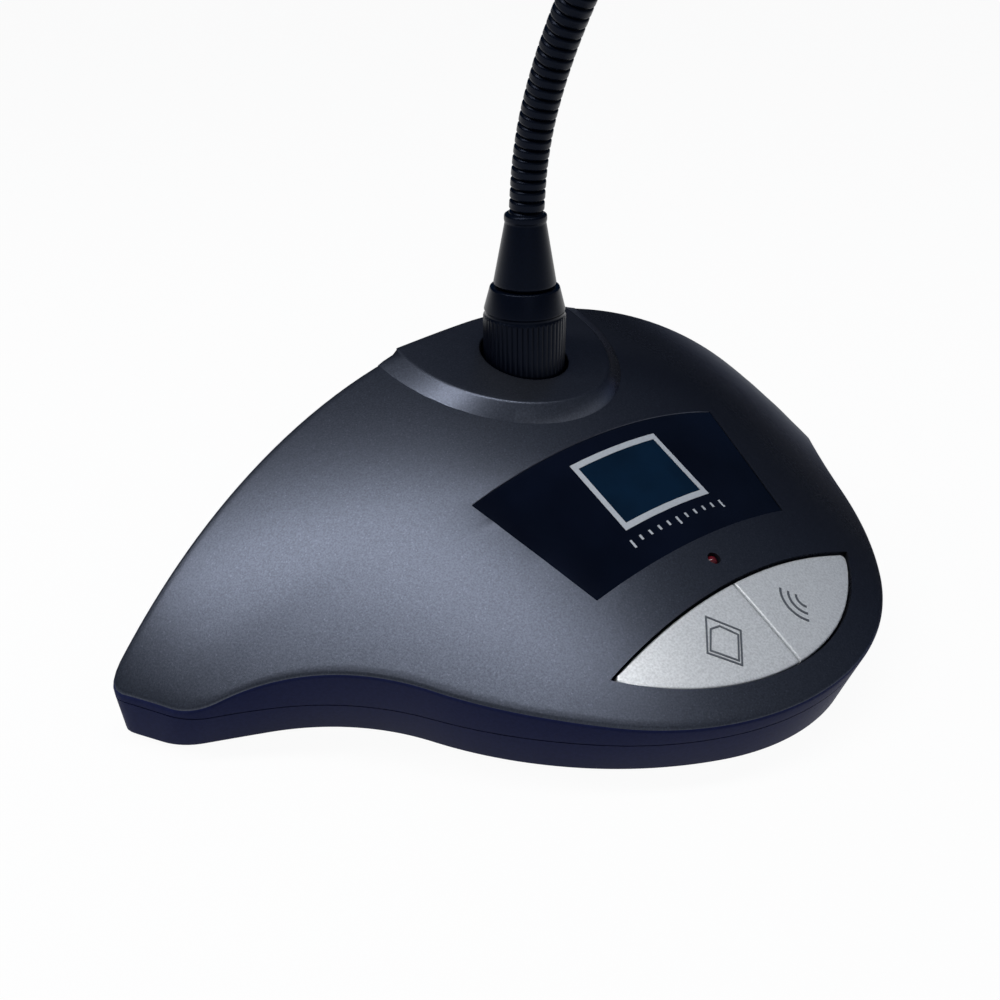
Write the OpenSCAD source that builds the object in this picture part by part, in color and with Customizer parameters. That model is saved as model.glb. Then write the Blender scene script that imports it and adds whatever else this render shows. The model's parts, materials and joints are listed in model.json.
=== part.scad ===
// Desk conference microphone. A low winged base carries a display window and two keys.
// A gooseneck plugs into the base, is held by a ribbed locking ring and ends in the capsule head.
// The front faces -Y, +X is on the right seen from the front, and the table is at z = 0.
// Sizes of the base are measured from the neck axis, and frame_y then centres the whole part.

/* [Top face] */
// Slope of the straight middle of the top face, in degrees
face_slope = 26.5; // [22:0.5:30]
// Distance of the display centre in front of the neck axis
display_fwd = 41.6; // [38:0.2:46]
// Height of the display centre over the table
display_z = 44; // [41:0.5:48]
// Radius of the face from side to side, square to the slope
side_r = 161; // [150:1:180]
// Radius of the face where it bends level at the back
crown_r = 228; // [180:2:300]
// Radius of the face where it bends down at the front
brow_r = 380; // [300:5:500]
// Straight run of the face behind the display centre
rear_run = 15.8; // [14:0.2:20]
// Straight run of the face in front of the display centre
front_run = 30.6; // [26:0.2:36]

/* [Rim outline] */
// Front of the rim, from the neck axis
rim_nose = 97.5; // [95:0.5:102]
// Radius of the rim's nose
rim_nose_r = 68.9; // [62:0.5:76]
// Turn of the rim's nose, in degrees
rim_nose_turn = 42.3; // [40:0.5:45]
// Radius of the rim's sides
rim_side_r = 128.4; // [110:1:150]
// Turn of the rim's sides, in degrees
rim_side_turn = 17; // [14:0.5:20]
// Radius of the hollow flank at the rim
rim_flank_r = 100.5; // [85:1:120]
// Turn of the hollow flank at the rim, in degrees
rim_flank_turn = 26; // [23:0.5:29]
// Radius of the wing tip at the rim
rim_tip_r = 19.7; // [14:0.5:26]
// Turn of the wing tip at the rim, in degrees
rim_tip_turn = 34; // [30:0.5:38]

/* [Foot outline] */
// Front of the foot, from the neck axis
foot_nose = 92.5; // [90:0.5:95]
// Radius of the foot's nose
foot_nose_r = 48.7; // [44:0.5:54]
// Turn of the foot's nose, in degrees
foot_nose_turn = 25.7; // [23:0.5:28]
// Radius of the foot's sides
foot_side_r = 87.5; // [80:0.5:95]
// Turn of the foot's sides, in degrees
foot_side_turn = 42.1; // [40:0.5:44]
// Radius of the hollow flank at the foot
foot_flank_r = 49.3; // [44:0.5:56]
// Turn of the hollow flank at the foot, in degrees
foot_flank_turn = 43.3; // [41:0.5:46]
// Straight run behind the hollow flank at the foot
foot_flank_run = 14.4; // [11:0.2:18]
// Radius of the wing tip at the foot
foot_tip_r = 13.4; // [9:0.2:18]
// Turn of the wing tip at the foot, in degrees
foot_tip_turn = 41.6; // [38:0.5:45]

/* [Shell] */
// Distance of the rear wall behind the neck axis
rear_reach = 17.4; // [16:0.2:22]
// Radius of the bowed rear wall
rear_r = 635; // [500:5:900]
// Thickness of the side walls
wall = 3; // [2:0.1:4]
// Thickness of the roof
roof_t = 3; // [2.6:0.1:3.6]
// Thickness of the floor
floor_t = 2.5; // [2:0.1:3.5]
// Height of the upper shell's edge at the wing tips
lip_h = 1.82; // [1.2:0.02:3]
// Radius of the screw bosses
boss_r = 3.6; // [3:0.1:4.5]
// Height of the joint between the bosses of the two shells
boss_z = 6; // [5:0.1:8]

/* [Neck plateau] */
// Height of the plateau at the neck axis
plateau_z = 63.5; // [63:0.1:66]
// Slope of the plateau, in degrees
plateau_slope = 15; // [12:0.5:16]
// Radius of the plateau where it meets the face
plateau_r = 32; // [28:0.5:36]
// Centre of the plateau behind the neck axis
plateau_back = 10.4; // [8:0.2:12]

/* [Display] */
// Width of the window at its back edge
window_back_w = 80.2; // [74:0.2:84]
// Width of the window at its front edge
window_front_w = 63.4; // [58:0.2:68]
// Back edge of the window behind the display centre
window_back = 14.2; // [12:0.2:15]
// Front edge of the window in front of the display centre
window_front = 17.2; // [15:0.2:19]
// Thickness of the window
window_t = 1.5; // [1:0.1:1.8]
// Depth of the window's face below the top face
window_sink = 0.2; // [0.1:0.05:0.5]
// Ledge that carries the window
window_ledge = 3; // [2:0.1:5]
// Width of the display module
lcd_w = 32; // [28:0.5:38]
// Length of the display module down the slope
lcd_l = 24; // [20:0.5:26]
// Distance of the status light in front of the display centre, down the slope
led_fwd = 25.3; // [24:0.1:27]
// Diameter of the status light
led_d = 3; // [2:0.1:4]

/* [Keys] */
// Middle of the keys, down the slope from the display centre
key_mid = 42.5; // [41:0.1:44]
// Back edge of the keys on the centreline, behind their middle
key_back = 10.6; // [9.5:0.1:12]
// Front edge of the keys on the centreline, in front of their middle
key_front = 13; // [11.5:0.1:14]
// Half width of the pair of keys, to the pointed tips
key_tip_x = 41; // [38:0.5:43]
// Place of the pointed tips behind the middle of the keys
key_tip = 5.3; // [4.5:0.1:7]
// Gap around the keys and between them
key_gap = 0.5; // [0.3:0.05:0.8]
// Depth of the keys' faces below the top face
key_sink = 0.8; // [0.4:0.05:1.2]
// Thickness of a key's face
key_t = 2.2; // [1.6:0.1:2.4]
// Width of the flange that keeps a key in
key_flange = 1; // [0.6:0.05:1.2]
// Travel of a key
key_travel = 0.6; // [0.4:0.05:0.7]
// Distance of the switches from the centreline
switch_x = 15; // [12:0.5:18]

/* [Boards] */
// Thickness of the circuit boards
board_t = 1.6; // [1:0.1:2]
// Depth of the key and display boards below the face
board_depth = 10; // [9.6:0.1:11]
// Height of the main board over the table
main_z = 14; // [13.5:0.1:16]
// Width of the main board
main_w = 68; // [64:1:72]
// Depth of the main board from front to back
main_l = 50; // [46:1:52]
// Centre of the main board in front of the neck axis
main_fwd = 37; // [36:0.5:39]

/* [Ballast and feet] */
// Width of the steel ballast plate
ballast_w = 52; // [40:1:53]
// Length of the steel ballast plate
ballast_l = 58; // [50:1:64]
// Thickness of the steel ballast plate
ballast_t = 6; // [4:0.5:7]
// Radius of the rubber feet
pad_r = 6; // [4:0.2:7]
// Height that the feet stand proud of the floor
pad_proud = 1; // [0.6:0.1:2]
// Depth of the feet's recesses in the floor
pad_seat = 0.8; // [0.5:0.1:1.2]

/* [Neck socket] */
// Outer radius of the socket's threaded stub
stub_r = 8; // [7.6:0.1:8.4]
// Bore radius of the stub
stub_bore_r = 6.1; // [5.8:0.1:6.6]
// Height of the top of the stub
stub_top = 72; // [71:0.1:73]
// Height of the underside of the socket's flange
socket_z = 46; // [44:0.5:47]
// Radius of the socket's flange
socket_flange_r = 19.5; // [18.5:0.1:20]
// Radius of the circle of the socket's screws
socket_screw_r = 15.5; // [15:0.1:16]
// Number of contacts
contact_n = 3; // [3:1:5]

/* [Locking ring] */
// Outer radius over the ribs
ring_r = 10.15; // [9.8:0.05:10.8]
// Number of ribs
ring_ribs = 48; // [36:1:60]
// Depth of the ribs
rib_depth = 0.4; // [0.2:0.05:0.6]
// Height of the lower edge of the ring
ring_low = 58; // [57:0.5:60]
// Height of the shoulder over the ribs
ring_mid = 75; // [74.5:0.1:76]
// Height of the top of the ring
ring_top = 80.9; // [80:0.1:82]
// Outer radius at the top of the ring
ring_top_r = 8.5; // [8:0.05:9]
// Clearance between the ring and the hole in the shell
ring_gap = 0.8; // [0.5:0.05:1.2]

/* [Gooseneck] */
// Outer diameter over the ribs
neck_d = 8.4; // [7:0.1:9]
// Bore for the lead
neck_bore = 4.8; // [4:0.1:5]
// Number of links
link_n = 16; // [16:1:16]
// Length of a link
link_l = 20; // [18:0.5:24]
// Number of ribs on a link
link_ribs = 8; // [6:1:9]
// Radius of the ball joint between links
ball_r = 6; // [5.6:0.1:6.6]
// Clearance of the ball joint
ball_gap = 0.3; // [0.25:0.05:0.5]
// Height of the lowest pivot
neck_z = 94.5; // [92:0.5:98]
// Lean of the upper neck from upright, in degrees
neck_lean = 42; // [20:1:50]
// Share of the lean that is left over after each link
neck_ease = 0.6; // [0.4:0.02:0.75]
// Link at which the lean starts
neck_start = 0.8; // [0.5:0.05:1]
// Radius of the sleeve's foot
sleeve_r = 7.65; // [7.2:0.05:8]
// Radius of the sleeve's top
sleeve_top_r = 4.85; // [4.6:0.05:5.2]

/* [Head] */
// Radius of the light ring
light_r = 7; // [6.8:0.1:8]
// Length of the light ring
light_l = 6; // [4:0.5:9]
// Radius of the capsule housing
housing_r = 6.6; // [6.2:0.1:7]
// Length of the capsule housing
housing_l = 38; // [30:1:44]
// Wall of the capsule housing
housing_wall = 1.2; // [0.8:0.1:1.4]
// Length of the collar over the end of the neck
collar_l = 16; // [12:0.5:20]
// Length of the microphone capsule
capsule_l = 7; // [5:0.5:9]
// Radius of the foam windscreen
foam_r = 14; // [11:0.5:18]
// Length of the foam windscreen
foam_l = 44; // [40:1:52]

/* [Link sockets] */
// Distance of a link socket from the centreline
link_x = 22; // [20:0.5:26]
// Height of the link sockets
link_z = 24; // [22:0.5:27]
// Radius of the barrel's bore, for the plug of a link cable
link_bore_r = 6.75; // [6.4:0.05:7]
// Wall of the barrel
link_wall = 0.85; // [0.6:0.05:1.2]
// Depth of the bore from the mouth to the contacts
link_depth = 8.1; // [7:0.1:9]
// Side of the square flange
link_flange = 21; // [20:0.5:23]

/* [Fasteners] */
// Diameter of the case screws
screw_d = 2.5; // [2:0.1:3]
// Diameter of a case screw's head
screw_head_d = 5; // [4:0.1:6]
// Height of a case screw's head
screw_head_h = 1.8; // [1.2:0.1:2.2]
// Diameter of the small screws of boards and sockets
small_d = 1.8; // [1.6:0.1:2]
// Clearance of a screw in its hole
screw_gap = 0.05; // [0.04:0.01:0.1]
// Clearance around a seated piece
seat_gap = 0.1; // [0.05:0.01:0.15]

/* [Hidden] */
$fn = 64;

// Colours
graphite = "#4a4d55";
navy_grey = "#34364a";
jet = "#17181b";
silver = "#c9cbce";
steel = "#a9abad";
board_green = "#1f5a3a";

// Top face: one section swept along a straight run with an arc behind and an arc in front of it
display_y = -display_fwd;
crown_c = [
    display_y + rear_run * cos(face_slope) + crown_r * sin(face_slope),
    display_z + rear_run * sin(face_slope) - crown_r * cos(face_slope)
];
brow_c = [
    display_y - front_run * cos(face_slope) + brow_r * sin(face_slope),
    display_z - front_run * sin(face_slope) - brow_r * cos(face_slope)
];
function sag(x) = side_r - sqrt(side_r * side_r - x * x);
function flat_z(x, y, drop) =
    display_z + ((y - display_y) * sin(face_slope) - sag(x) - drop) / cos(face_slope);
function along(y, z) = (y - display_y) * cos(face_slope) + (z - display_z) * sin(face_slope);
function arc_z(c, r, y) = c[1] + sqrt(r * r - pow(y - c[0], 2));
function face_z(x, y, drop = 0) =
    let (q = along(y, flat_z(x, y, drop)))
    q > rear_run ? arc_z(crown_c, crown_r - sag(x) - drop, y) :
    q < -front_run ? arc_z(brow_c, brow_r - sag(x) - drop, y) :
    flat_z(x, y, drop);

// Outlines are walked from the nose to the left wing tip, leg by leg, each leg an arc or a run
function leg_len(leg) = leg[1] == 0 ? leg[0] : leg[0] * abs(leg[1]) * PI / 180;
function leg_at(leg, p, h, s) =
    let (t = leg[1] == 0 ? 0 : leg[1] * s / leg_len(leg))
    t == 0 ? p + s * [-cos(h), sin(h)] :
    p + 2 * leg[0] * sin(abs(t) / 2) * [-cos(h + t / 2), sin(h + t / 2)];
function walk(legs, s, p, h = 0, i = 0) =
    i == len(legs) ? p + s * [-cos(h), sin(h)] :
    s <= leg_len(legs[i]) ? leg_at(legs[i], p, h, s) :
    walk(legs, s - leg_len(legs[i]), leg_at(legs[i], p, h, leg_len(legs[i])), h + legs[i][1], i + 1);
function total(legs, i = 0) = i == len(legs) ? 0 : leg_len(legs[i]) + total(legs, i + 1);
function heading(legs, i = 0) = i == len(legs) ? 0 : legs[i][1] + heading(legs, i + 1);
function rear_y(x, back) = back - x * x / (2 * rear_r);
outline_n = 40;
function half_line(legs, p, back) =
    let (all = total(legs), tip = walk(legs, all, p), h = heading(legs))
    let (x = tip.x - (rear_y(tip.x, back) - tip.y) / tan(h))
    concat([for (k = [0 : outline_n - 1]) walk(legs, all * k / (outline_n - 1), p)], [[x, rear_y(x, back)]]);
function foot_half(d, back) = half_line([
    [foot_nose_r - d, foot_nose_turn],
    [foot_side_r - d, foot_side_turn],
    [foot_flank_r + d, -foot_flank_turn],
    [foot_flank_run, 0],
    [foot_tip_r - d, foot_tip_turn]
], [0, d - foot_nose], back);
function rim_half(d, back) = half_line([
    [rim_nose_r - d, rim_nose_turn],
    [rim_side_r - d, rim_side_turn],
    [rim_flank_r + d, -rim_flank_turn],
    [rim_tip_r - d, rim_tip_turn]
], [0, d - rim_nose], back);

// The side wall is straight from the foot line to the rim line
function wall_half(d, back, z) =
    let (foot = foot_half(d, back), rim = rim_half(d, back))
    [for (i = [0 : outline_n]) foot[i] + (rim[i] - foot[i]) * z / face_z(rim[i].x, rim[i].y)];
across = 8;
riser = 0.5;
spare = 2;
function closed(half, back, z) = concat(
    [for (p = half) [p.x, p.y, z]],
    [for (k = [across - 1 : -1 : 1 - across])
        let (x = half[outline_n].x * k / across) [x, rear_y(x, back), z]],
    [for (i = [outline_n : -1 : 1]) [-half[i].x, half[i].y, z]]
);

// The shells meet below the lowest point of the rim, the rear corner of the wing tip
wing_tip = rim_half(0, rear_reach)[outline_n];
parting_z = face_z(wing_tip.x, wing_tip.y) - lip_h;

// Heights inside the base
base_z = pad_proud;
floor_z = base_z + floor_t;
post_h = 1.5;
ballast_z = floor_z + post_h;
ballast_fwd = 36;

// Case screws, in pairs on both sides: [distance from the centreline, place from the neck axis]
case_screws = [[42, -58], [62, 5], [98, 0]];
feet_at = [[20, -78], [82, 3]];
main_holes = [main_w / 2 - 4, main_l / 2 - 4];
ballast_holes = [ballast_w / 2 - 8, ballast_l / 2 - 9];
post_r = 3;
small_r = small_d / 2;
small_head_r = small_r * 1.9;
small_head_h = 1.3;
screw_r = screw_d / 2;
hole_r = screw_r + screw_gap;
small_hole_r = small_r + screw_gap;
pass_gap = 0.3;

// Places on the face: x, and q up the slope from the display centre
display_bosses = [[42.5, 6], [38, -14]];
led_v = key_mid - led_fwd;
small_boss_r = 2.2;
front_boss = -key_front - 1.7;
key_bosses = [[33, 15], [-33, 15], [0, front_boss]];
board_low = -board_depth - board_t;
screw_grip = 5;
pocket_half = key_tip_x + 19;

// Keys, in a frame that touches the face at their middle; the edges are arcs through the tips
key_slope = face_slope + (key_mid - front_run) / brow_r * 180 / PI;
key_at = [0, brow_c[0] - brow_r * sin(key_slope), brow_c[1] + brow_r * cos(key_slope)];
key_front_r = (key_tip_x * key_tip_x + pow(key_front + key_tip, 2)) / (2 * (key_front + key_tip));
key_back_r = (key_tip_x * key_tip_x + pow(key_back - key_tip, 2)) / (2 * (key_back - key_tip));
key_wall = 2;
flange_gap = 0.3;
flange_t = 1.2;
flange_top = roof_t + flange_gap;
flange_low = flange_top + flange_t;
key_cut = sag(key_tip_x) + flange_low;
board_nose = front_boss - small_boss_r - 0.1;
stem_r = 2.5;
stem_low = -5;
switch_side = 6;
switch_top = stem_low - key_travel - 0.4;
plunger_r = 1.6;
plunger_low = switch_top - 2.6;
plunger_room = 0.35;

// Neck connection
thread_gap = 0.3;
plug_gap = 0.4;
ring_bore_r = stub_r + thread_gap;
ring_hole_r = ring_r + ring_gap;
ring_seat = ring_mid + 1;
ring_neck_r = 6.8;
sleeve_low = stub_top + 0.4;
sleeve_flange_r = ring_bore_r - 0.6;
sleeve_flange_z = ring_seat - 0.3;
sleeve_neck_r = ring_neck_r - 0.4;
sleeve_cone_z = ring_top + 0.3;
socket_flange_t = 3;
socket_holes = [for (a = [30, 150, 270]) socket_screw_r * [cos(a), sin(a)]];
insert_low = socket_z + 4;
insert_top = insert_low + 6;
contact_r = 0.5;
contact_ring_r = 2.7;
contact_top = insert_top + 8;
plug_r = stub_bore_r - plug_gap;
plug_low = insert_top + 1.5;
plug_wall = 0.8;
plug_insert_top = plug_low + 8;

// Gooseneck: every link stands on the ball of the one below
neck_r = neck_d / 2;
bore_r = neck_bore / 2;
rib_cut = 0.45;
function tilt(i) = neck_lean * (1 - pow(neck_ease, i - neck_start));
function pivot(i) =
    i <= 1 ? [0, 0, neck_z] :
    pivot(i - 1) + link_l * [0, -sin(tilt(i - 1)), cos(tilt(i - 1))];
cap_steps = 5;
function cap(r, z, from, to) = [for (k = [0 : cap_steps])
    let (a = from + (to - from) * k / cap_steps) [a, z + sqrt(r * r - a * a)]];

// Head, measured along the last link from its pivot
collar_z = link_l + sqrt(pow(ball_r + ball_gap, 2) - neck_r * neck_r);
light_z = link_l + collar_l;
housing_z = light_z + light_l;
capsule_z = housing_z + housing_l - 14;
foam_z = housing_z + 5;
foam_nose = foam_z + foam_l - foam_r;
slot_n = 6;

// Link sockets in the rear wall
link_mouth = rear_reach + 0.2;
link_seat = link_mouth - link_depth;
link_insert_t = 3;
link_back = link_seat - link_insert_t;
link_insert_r = link_bore_r - 0.45;
link_r = link_bore_r + link_wall;
link_flange_t = 1.6;
link_flange_y = rear_reach - wall - pow(link_x + link_flange / 2, 2) / (2 * rear_r) - seat_gap;
link_screw = link_flange / 2 - 2.2;
link_head_h = 1.2;
link_contact_n = 7;

// The part's origin is under the middle of its bounding box
rear_most = rear_reach + link_head_h;
front_most = pivot(link_n)[1] - sin(tilt(link_n)) * foam_nose - foam_r;
frame_y = -(rear_most + front_most) / 2;

module in_frame() {
    translate([0, frame_y, 0]) children();
}

module on_face() {
    translate([0, display_y, display_z]) rotate([face_slope, 0, 0]) children();
}

module on_keys() {
    translate(key_at) rotate([key_slope, 0, 0]) children();
}

module both_sides() {
    children();
    mirror([1, 0, 0]) children();
}

// Base without its hollow: side walls from low up to the top face, moved in by d and down by drop
module mound(d, drop, low, back) {
    rim = rim_half(d, back);
    wide = 2 * across + 1;
    edge = closed(wall_half(d, back, low), back, low);
    n = len(edge);
    top = concat(
        [[rim[0].x, rim[0].y, face_z(rim[0].x, rim[0].y, drop)]],
        [for (i = [1 : outline_n], c = [0 : 2 * across])
            let (x = rim[i].x * (1 - c / across), y = i == outline_n ? rear_y(x, back) : rim[i].y)
            [x, y, face_z(x, y, drop)]]
    );
    t = len(top);
    first = [for (i = [1 : outline_n]) 1 + (i - 1) * wide];
    last = first[outline_n - 1];
    rim_at = concat([0], first, [for (c = [1 : 2 * across - 1]) last + c],
        [for (i = [outline_n - 1 : -1 : 0]) first[i] + 2 * across]);
    cells = [for (i = [0 : outline_n - 2], c = [0 : 2 * across - 1]) first[i] + c];
    polyhedron(concat(top, edge), concat(
        [for (c = [1 : 2 * across]) [0, c, c + 1]],
        [for (a = cells) [a, a + wide, a + wide + 1]],
        [for (a = cells) [a, a + wide + 1, a + 1]],
        [for (j = [0 : n - 1]) [rim_at[j], t + j, t + (j + 1) % n]],
        [for (j = [0 : n - 1]) [rim_at[j], t + (j + 1) % n, rim_at[(j + 1) % n]]],
        [[for (j = [n - 1 : -1 : 0]) t + j]]
    ));
}

// Slice of the side walls between two heights
module slice(low, high, back) {
    under = closed(wall_half(0, back, low), back, low);
    over = closed(wall_half(0, back, high), back, high);
    n = len(under);
    polyhedron(concat(under, over), concat(
        [[for (i = [n - 1 : -1 : 0]) i]],
        [[for (i = [0 : n - 1]) n + i]],
        [for (i = [0 : n - 1]) [n + i, i, (i + 1) % n]],
        [for (i = [0 : n - 1]) [n + i, (i + 1) % n, n + (i + 1) % n]]
    ));
}

// Solid below the swept face, drop under it, between two places up the slope
module under_face(drop, from, to, deep) {
    translate([0, to, 0]) rotate([90, 0, 0]) linear_extrude(to - from) intersection() {
        translate([0, -side_r]) circle(side_r - drop, $fn = 240);
        translate([-pocket_half, -deep]) square([2 * pocket_half, deep]);
    }
}

module layer(top, low, from, to) {
    difference() {
        under_face(top, from, to, 30);
        under_face(low, from - 1, to + 1, 40);
    }
}

// Raised pad round the neck, with a sloping riser
module plateau() {
    intersection() {
        translate([0, plateau_back, plateau_z - 16])
            cylinder(r1 = plateau_r + riser * 6, r2 = plateau_r - riser * 14, h = 20);
        translate([0, 0, plateau_z]) rotate([plateau_slope, 0, 0]) translate([0, 2 * plateau_r, -side_r])
            rotate([90, 0, 0]) cylinder(r = side_r, h = 4 * plateau_r, $fn = 240);
    }
}

// All that is in front of the bowed rear wall, between two heights
module before_rear(low, high) {
    translate([0, rear_reach - rear_r, low]) cylinder(r = rear_r, h = high - low, $fn = 400);
}

// Window outline seen from above, moved in by d
module window_plan(d) {
    turn = (window_back_w - window_front_w) / 2 / (window_back + window_front);
    w = window_back_w / 2 - d * sqrt(1 + turn * turn);
    back = window_back - d;
    front = d - window_front;
    polygon([
        [w - turn * d, back],
        [turn * d - w, back],
        [turn * (window_back - front) - w, front],
        [w - turn * (window_back - front), front]
    ]);
}

// Outline of one key in the plane of the face, grown by d, starting split from the centreline
module key_plan(d, split) {
    intersection() {
        translate([0, key_front_r - key_front]) circle(key_front_r + d, $fn = 200);
        translate([0, key_back - key_back_r]) circle(key_back_r + d, $fn = 400);
        translate([split, -20]) square([60, 40]);
    }
}

module socket_places() {
    for (p = socket_holes) translate([p[0], p[1], 0]) children();
}

module link_places() {
    for (side = [-1, 1]) translate([side * link_x, 0, link_z]) rotate([-90, 0, 0]) children();
}

module link_screw_places() {
    link_places() for (side = [-1, 1]) translate([side * link_screw, side * link_screw, 0]) children();
}

// Stroke of constant width through points, in the plane
module strip(points, w) {
    for (i = [0 : len(points) - 2]) {
        d = points[i + 1] - points[i];
        u = d / norm(d) * w / 2;
        v = [-u.y, u.x];
        polygon([points[i] - u + v, points[i + 1] + u + v, points[i + 1] + u - v, points[i] - u - v]);
    }
}

// Flat lead: a stroke in the upright plane along Y, as wide as w across it
module flat_lead(points, thick, w) {
    rotate([90, 0, 90]) translate([0, 0, -w / 2]) linear_extrude(w) strip(points, thick);
}

// Screw with its shank along +Z and its head under z = 0
module screw(r, grip, head_r, head_h) {
    cylinder(r = r, h = grip);
    translate([0, 0, -head_h]) difference() {
        cylinder(r = head_r, h = head_h);
        translate([0, 0, -1]) cylinder(r = head_r * 0.45, h = 1 + head_h * 0.5, $fn = 6);
    }
}

module upper_shell() {
    color(graphite) difference() {
        union() {
            difference() {
                intersection() {
                    union() {
                        mound(0, 0, parting_z - spare, rear_reach + spare);
                        plateau();
                    }
                    before_rear(parting_z, plateau_z + plateau_r);
                }
                mound(wall, roof_t, parting_z - 2 * spare, rear_reach - wall);
            }
            both_sides() for (p = case_screws) translate([p[0], p[1], boss_z])
                cylinder(r = boss_r, h = face_z(p[0] + boss_r, p[1] - boss_r) - roof_t / 2 - boss_z);
            for (p = socket_holes) translate([p[0], p[1], socket_z + socket_flange_t])
                cylinder(r = boss_r, h = face_z(p[0], p[1] - boss_r) - roof_t / 2 - socket_z - socket_flange_t);
            on_face() both_sides() for (p = display_bosses) translate([p[0], p[1], -board_depth])
                cylinder(r = small_boss_r, h = board_depth - sag(p[0]) - 1.6);
            on_keys() for (p = key_bosses) translate([p[0], p[1], -board_depth])
                cylinder(r = small_boss_r, h = board_depth - sag(p[0]) - 1.6);
        }
        translate([0, 0, ring_low - 20]) cylinder(r = ring_hole_r, h = 50);
        both_sides() for (p = case_screws) translate([p[0], p[1], boss_z - 1])
            cylinder(r = hole_r, h = 1 + screw_grip);
        socket_places() translate([0, 0, socket_z + socket_flange_t - 1])
            cylinder(r = small_hole_r, h = 1 + screw_grip - socket_flange_t + 0.4);
        on_face() both_sides() for (p = display_bosses) translate([p[0], p[1], -board_depth - 1])
            cylinder(r = small_hole_r, h = 1 + screw_grip - board_t + 0.4);
        on_keys() for (p = key_bosses) translate([p[0], p[1], -board_depth - 1])
            cylinder(r = small_hole_r, h = 1 + screw_grip - board_t + 0.4);
        translate([0, display_y, display_z - 30]) linear_extrude(60) window_plan(window_ledge);
        intersection() {
            translate([0, display_y, display_z - 30]) linear_extrude(60) window_plan(-seat_gap);
            on_face() difference() {
                translate([-50, -30, -20]) cube([100, 60, 30]);
                under_face(window_sink + window_t, -31, 31, 40);
            }
        }
        on_keys() {
            both_sides() translate([0, 0, -key_cut]) linear_extrude(2 * key_cut) key_plan(0, -1);
            translate([0, led_v, -8]) cylinder(d = led_d + 2 * seat_gap, h = 16);
        }
        link_places() cylinder(r = link_r + seat_gap, h = 30);
        link_screw_places() cylinder(r = small_r + pass_gap, h = 30);
    }
}

module bottom_shell() {
    color(navy_grey) difference() {
        union() {
            difference() {
                intersection() {
                    slice(base_z - spare, parting_z + spare, rear_reach + spare);
                    before_rear(base_z, parting_z);
                }
                translate([0, 0, floor_z]) linear_extrude(20)
                    polygon([for (p = closed(foot_half(wall, rear_reach - wall), rear_reach - wall, 0)) [p.x, p.y]]);
            }
            both_sides() for (p = case_screws) translate([p[0], p[1], floor_z - 1])
                cylinder(r = boss_r, h = boss_z - floor_z + 1);
            both_sides() for (v = [-1, 1]) translate([main_holes[0], v * main_holes[1] - main_fwd, floor_z - 1])
                cylinder(r = post_r, h = main_z - floor_z + 1);
            both_sides() for (v = [-1, 1])
                translate([ballast_holes[0], v * ballast_holes[1] - ballast_fwd, floor_z - 1])
                    cylinder(r = post_r, h = post_h + 1);
        }
        both_sides() {
            for (p = case_screws) translate([p[0], p[1], 0]) {
                cylinder(r = screw_r + pass_gap, h = 10);
                cylinder(r = screw_head_d / 2 + pass_gap, h = base_z + screw_head_h + 0.4);
            }
            for (p = feet_at) translate([p[0], p[1], 0]) cylinder(r = pad_r + seat_gap, h = base_z + pad_seat);
            for (v = [-1, 1]) translate([main_holes[0], v * main_holes[1] - main_fwd, main_z - screw_grip])
                cylinder(r = small_hole_r, h = screw_grip + 1);
            for (v = [-1, 1])
                translate([ballast_holes[0], v * ballast_holes[1] - ballast_fwd, base_z + 0.8])
                    cylinder(r = hole_r, h = 10);
        }
    }
}

module rubber_feet() {
    color(jet) both_sides() for (p = feet_at) translate([p[0], p[1], 0]) rotate_extrude()
        polygon([[0, 0], [pad_r - 0.4, 0], [pad_r, 0.4], [pad_r, base_z + pad_seat], [0, base_z + pad_seat]]);
}

module housing_screws() {
    color(steel) both_sides() for (p = case_screws) translate([p[0], p[1], base_z + screw_head_h + 0.4])
        screw(screw_r, boss_z + screw_grip - 0.4 - base_z - screw_head_h - 0.4, screw_head_d / 2, screw_head_h);
}

module ballast_plate() {
    color(steel) difference() {
        translate([-ballast_w / 2, -ballast_l / 2 - ballast_fwd, ballast_z])
            cube([ballast_w, ballast_l, ballast_t]);
        both_sides() for (v = [-1, 1]) translate([ballast_holes[0], v * ballast_holes[1] - ballast_fwd, 0]) {
            cylinder(r = screw_r + pass_gap, h = 20);
            translate([0, 0, ballast_z + ballast_t - screw_head_h - 0.2])
                cylinder(r = screw_head_d / 2 + pass_gap, h = 5);
        }
    }
}

module ballast_screws() {
    color(steel) both_sides() for (v = [-1, 1])
        translate([ballast_holes[0], v * ballast_holes[1] - ballast_fwd, ballast_z + ballast_t - screw_head_h - 0.2])
            mirror([0, 0, 1])
                screw(screw_r, ballast_z + ballast_t - screw_head_h - 0.2 - base_z - 1.2, screw_head_d / 2, screw_head_h);
}

module main_board() {
    color(board_green) difference() {
        translate([-main_w / 2, -main_l / 2 - main_fwd, main_z]) cube([main_w, main_l, board_t]);
        both_sides() for (v = [-1, 1]) translate([main_holes[0], v * main_holes[1] - main_fwd, 0])
            cylinder(r = small_r + pass_gap, h = 30);
    }
}

module board_components() {
    top = main_z + board_t;
    color(jet) {
        for (v = [-33, -45]) translate([-22, v, top]) cylinder(r = 4, h = 8);
        translate([-7, -46, top]) cube([14, 10, 2]);
        translate([12, -33, top]) cube([9, 9, 1.8]);
        translate([-6, -18, top]) cube([12, 5, 5]);
        translate([-9, -31, top]) cube([18, 4, 4]);
        both_sides() translate([15, -18, top]) cube([10, 5, 4]);
    }
}

module board_screws() {
    color(steel) both_sides() for (v = [-1, 1])
        translate([main_holes[0], v * main_holes[1] - main_fwd, main_z + board_t]) mirror([0, 0, 1])
            screw(small_r, screw_grip + board_t - 0.4, small_head_r, small_head_h);
}

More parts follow.
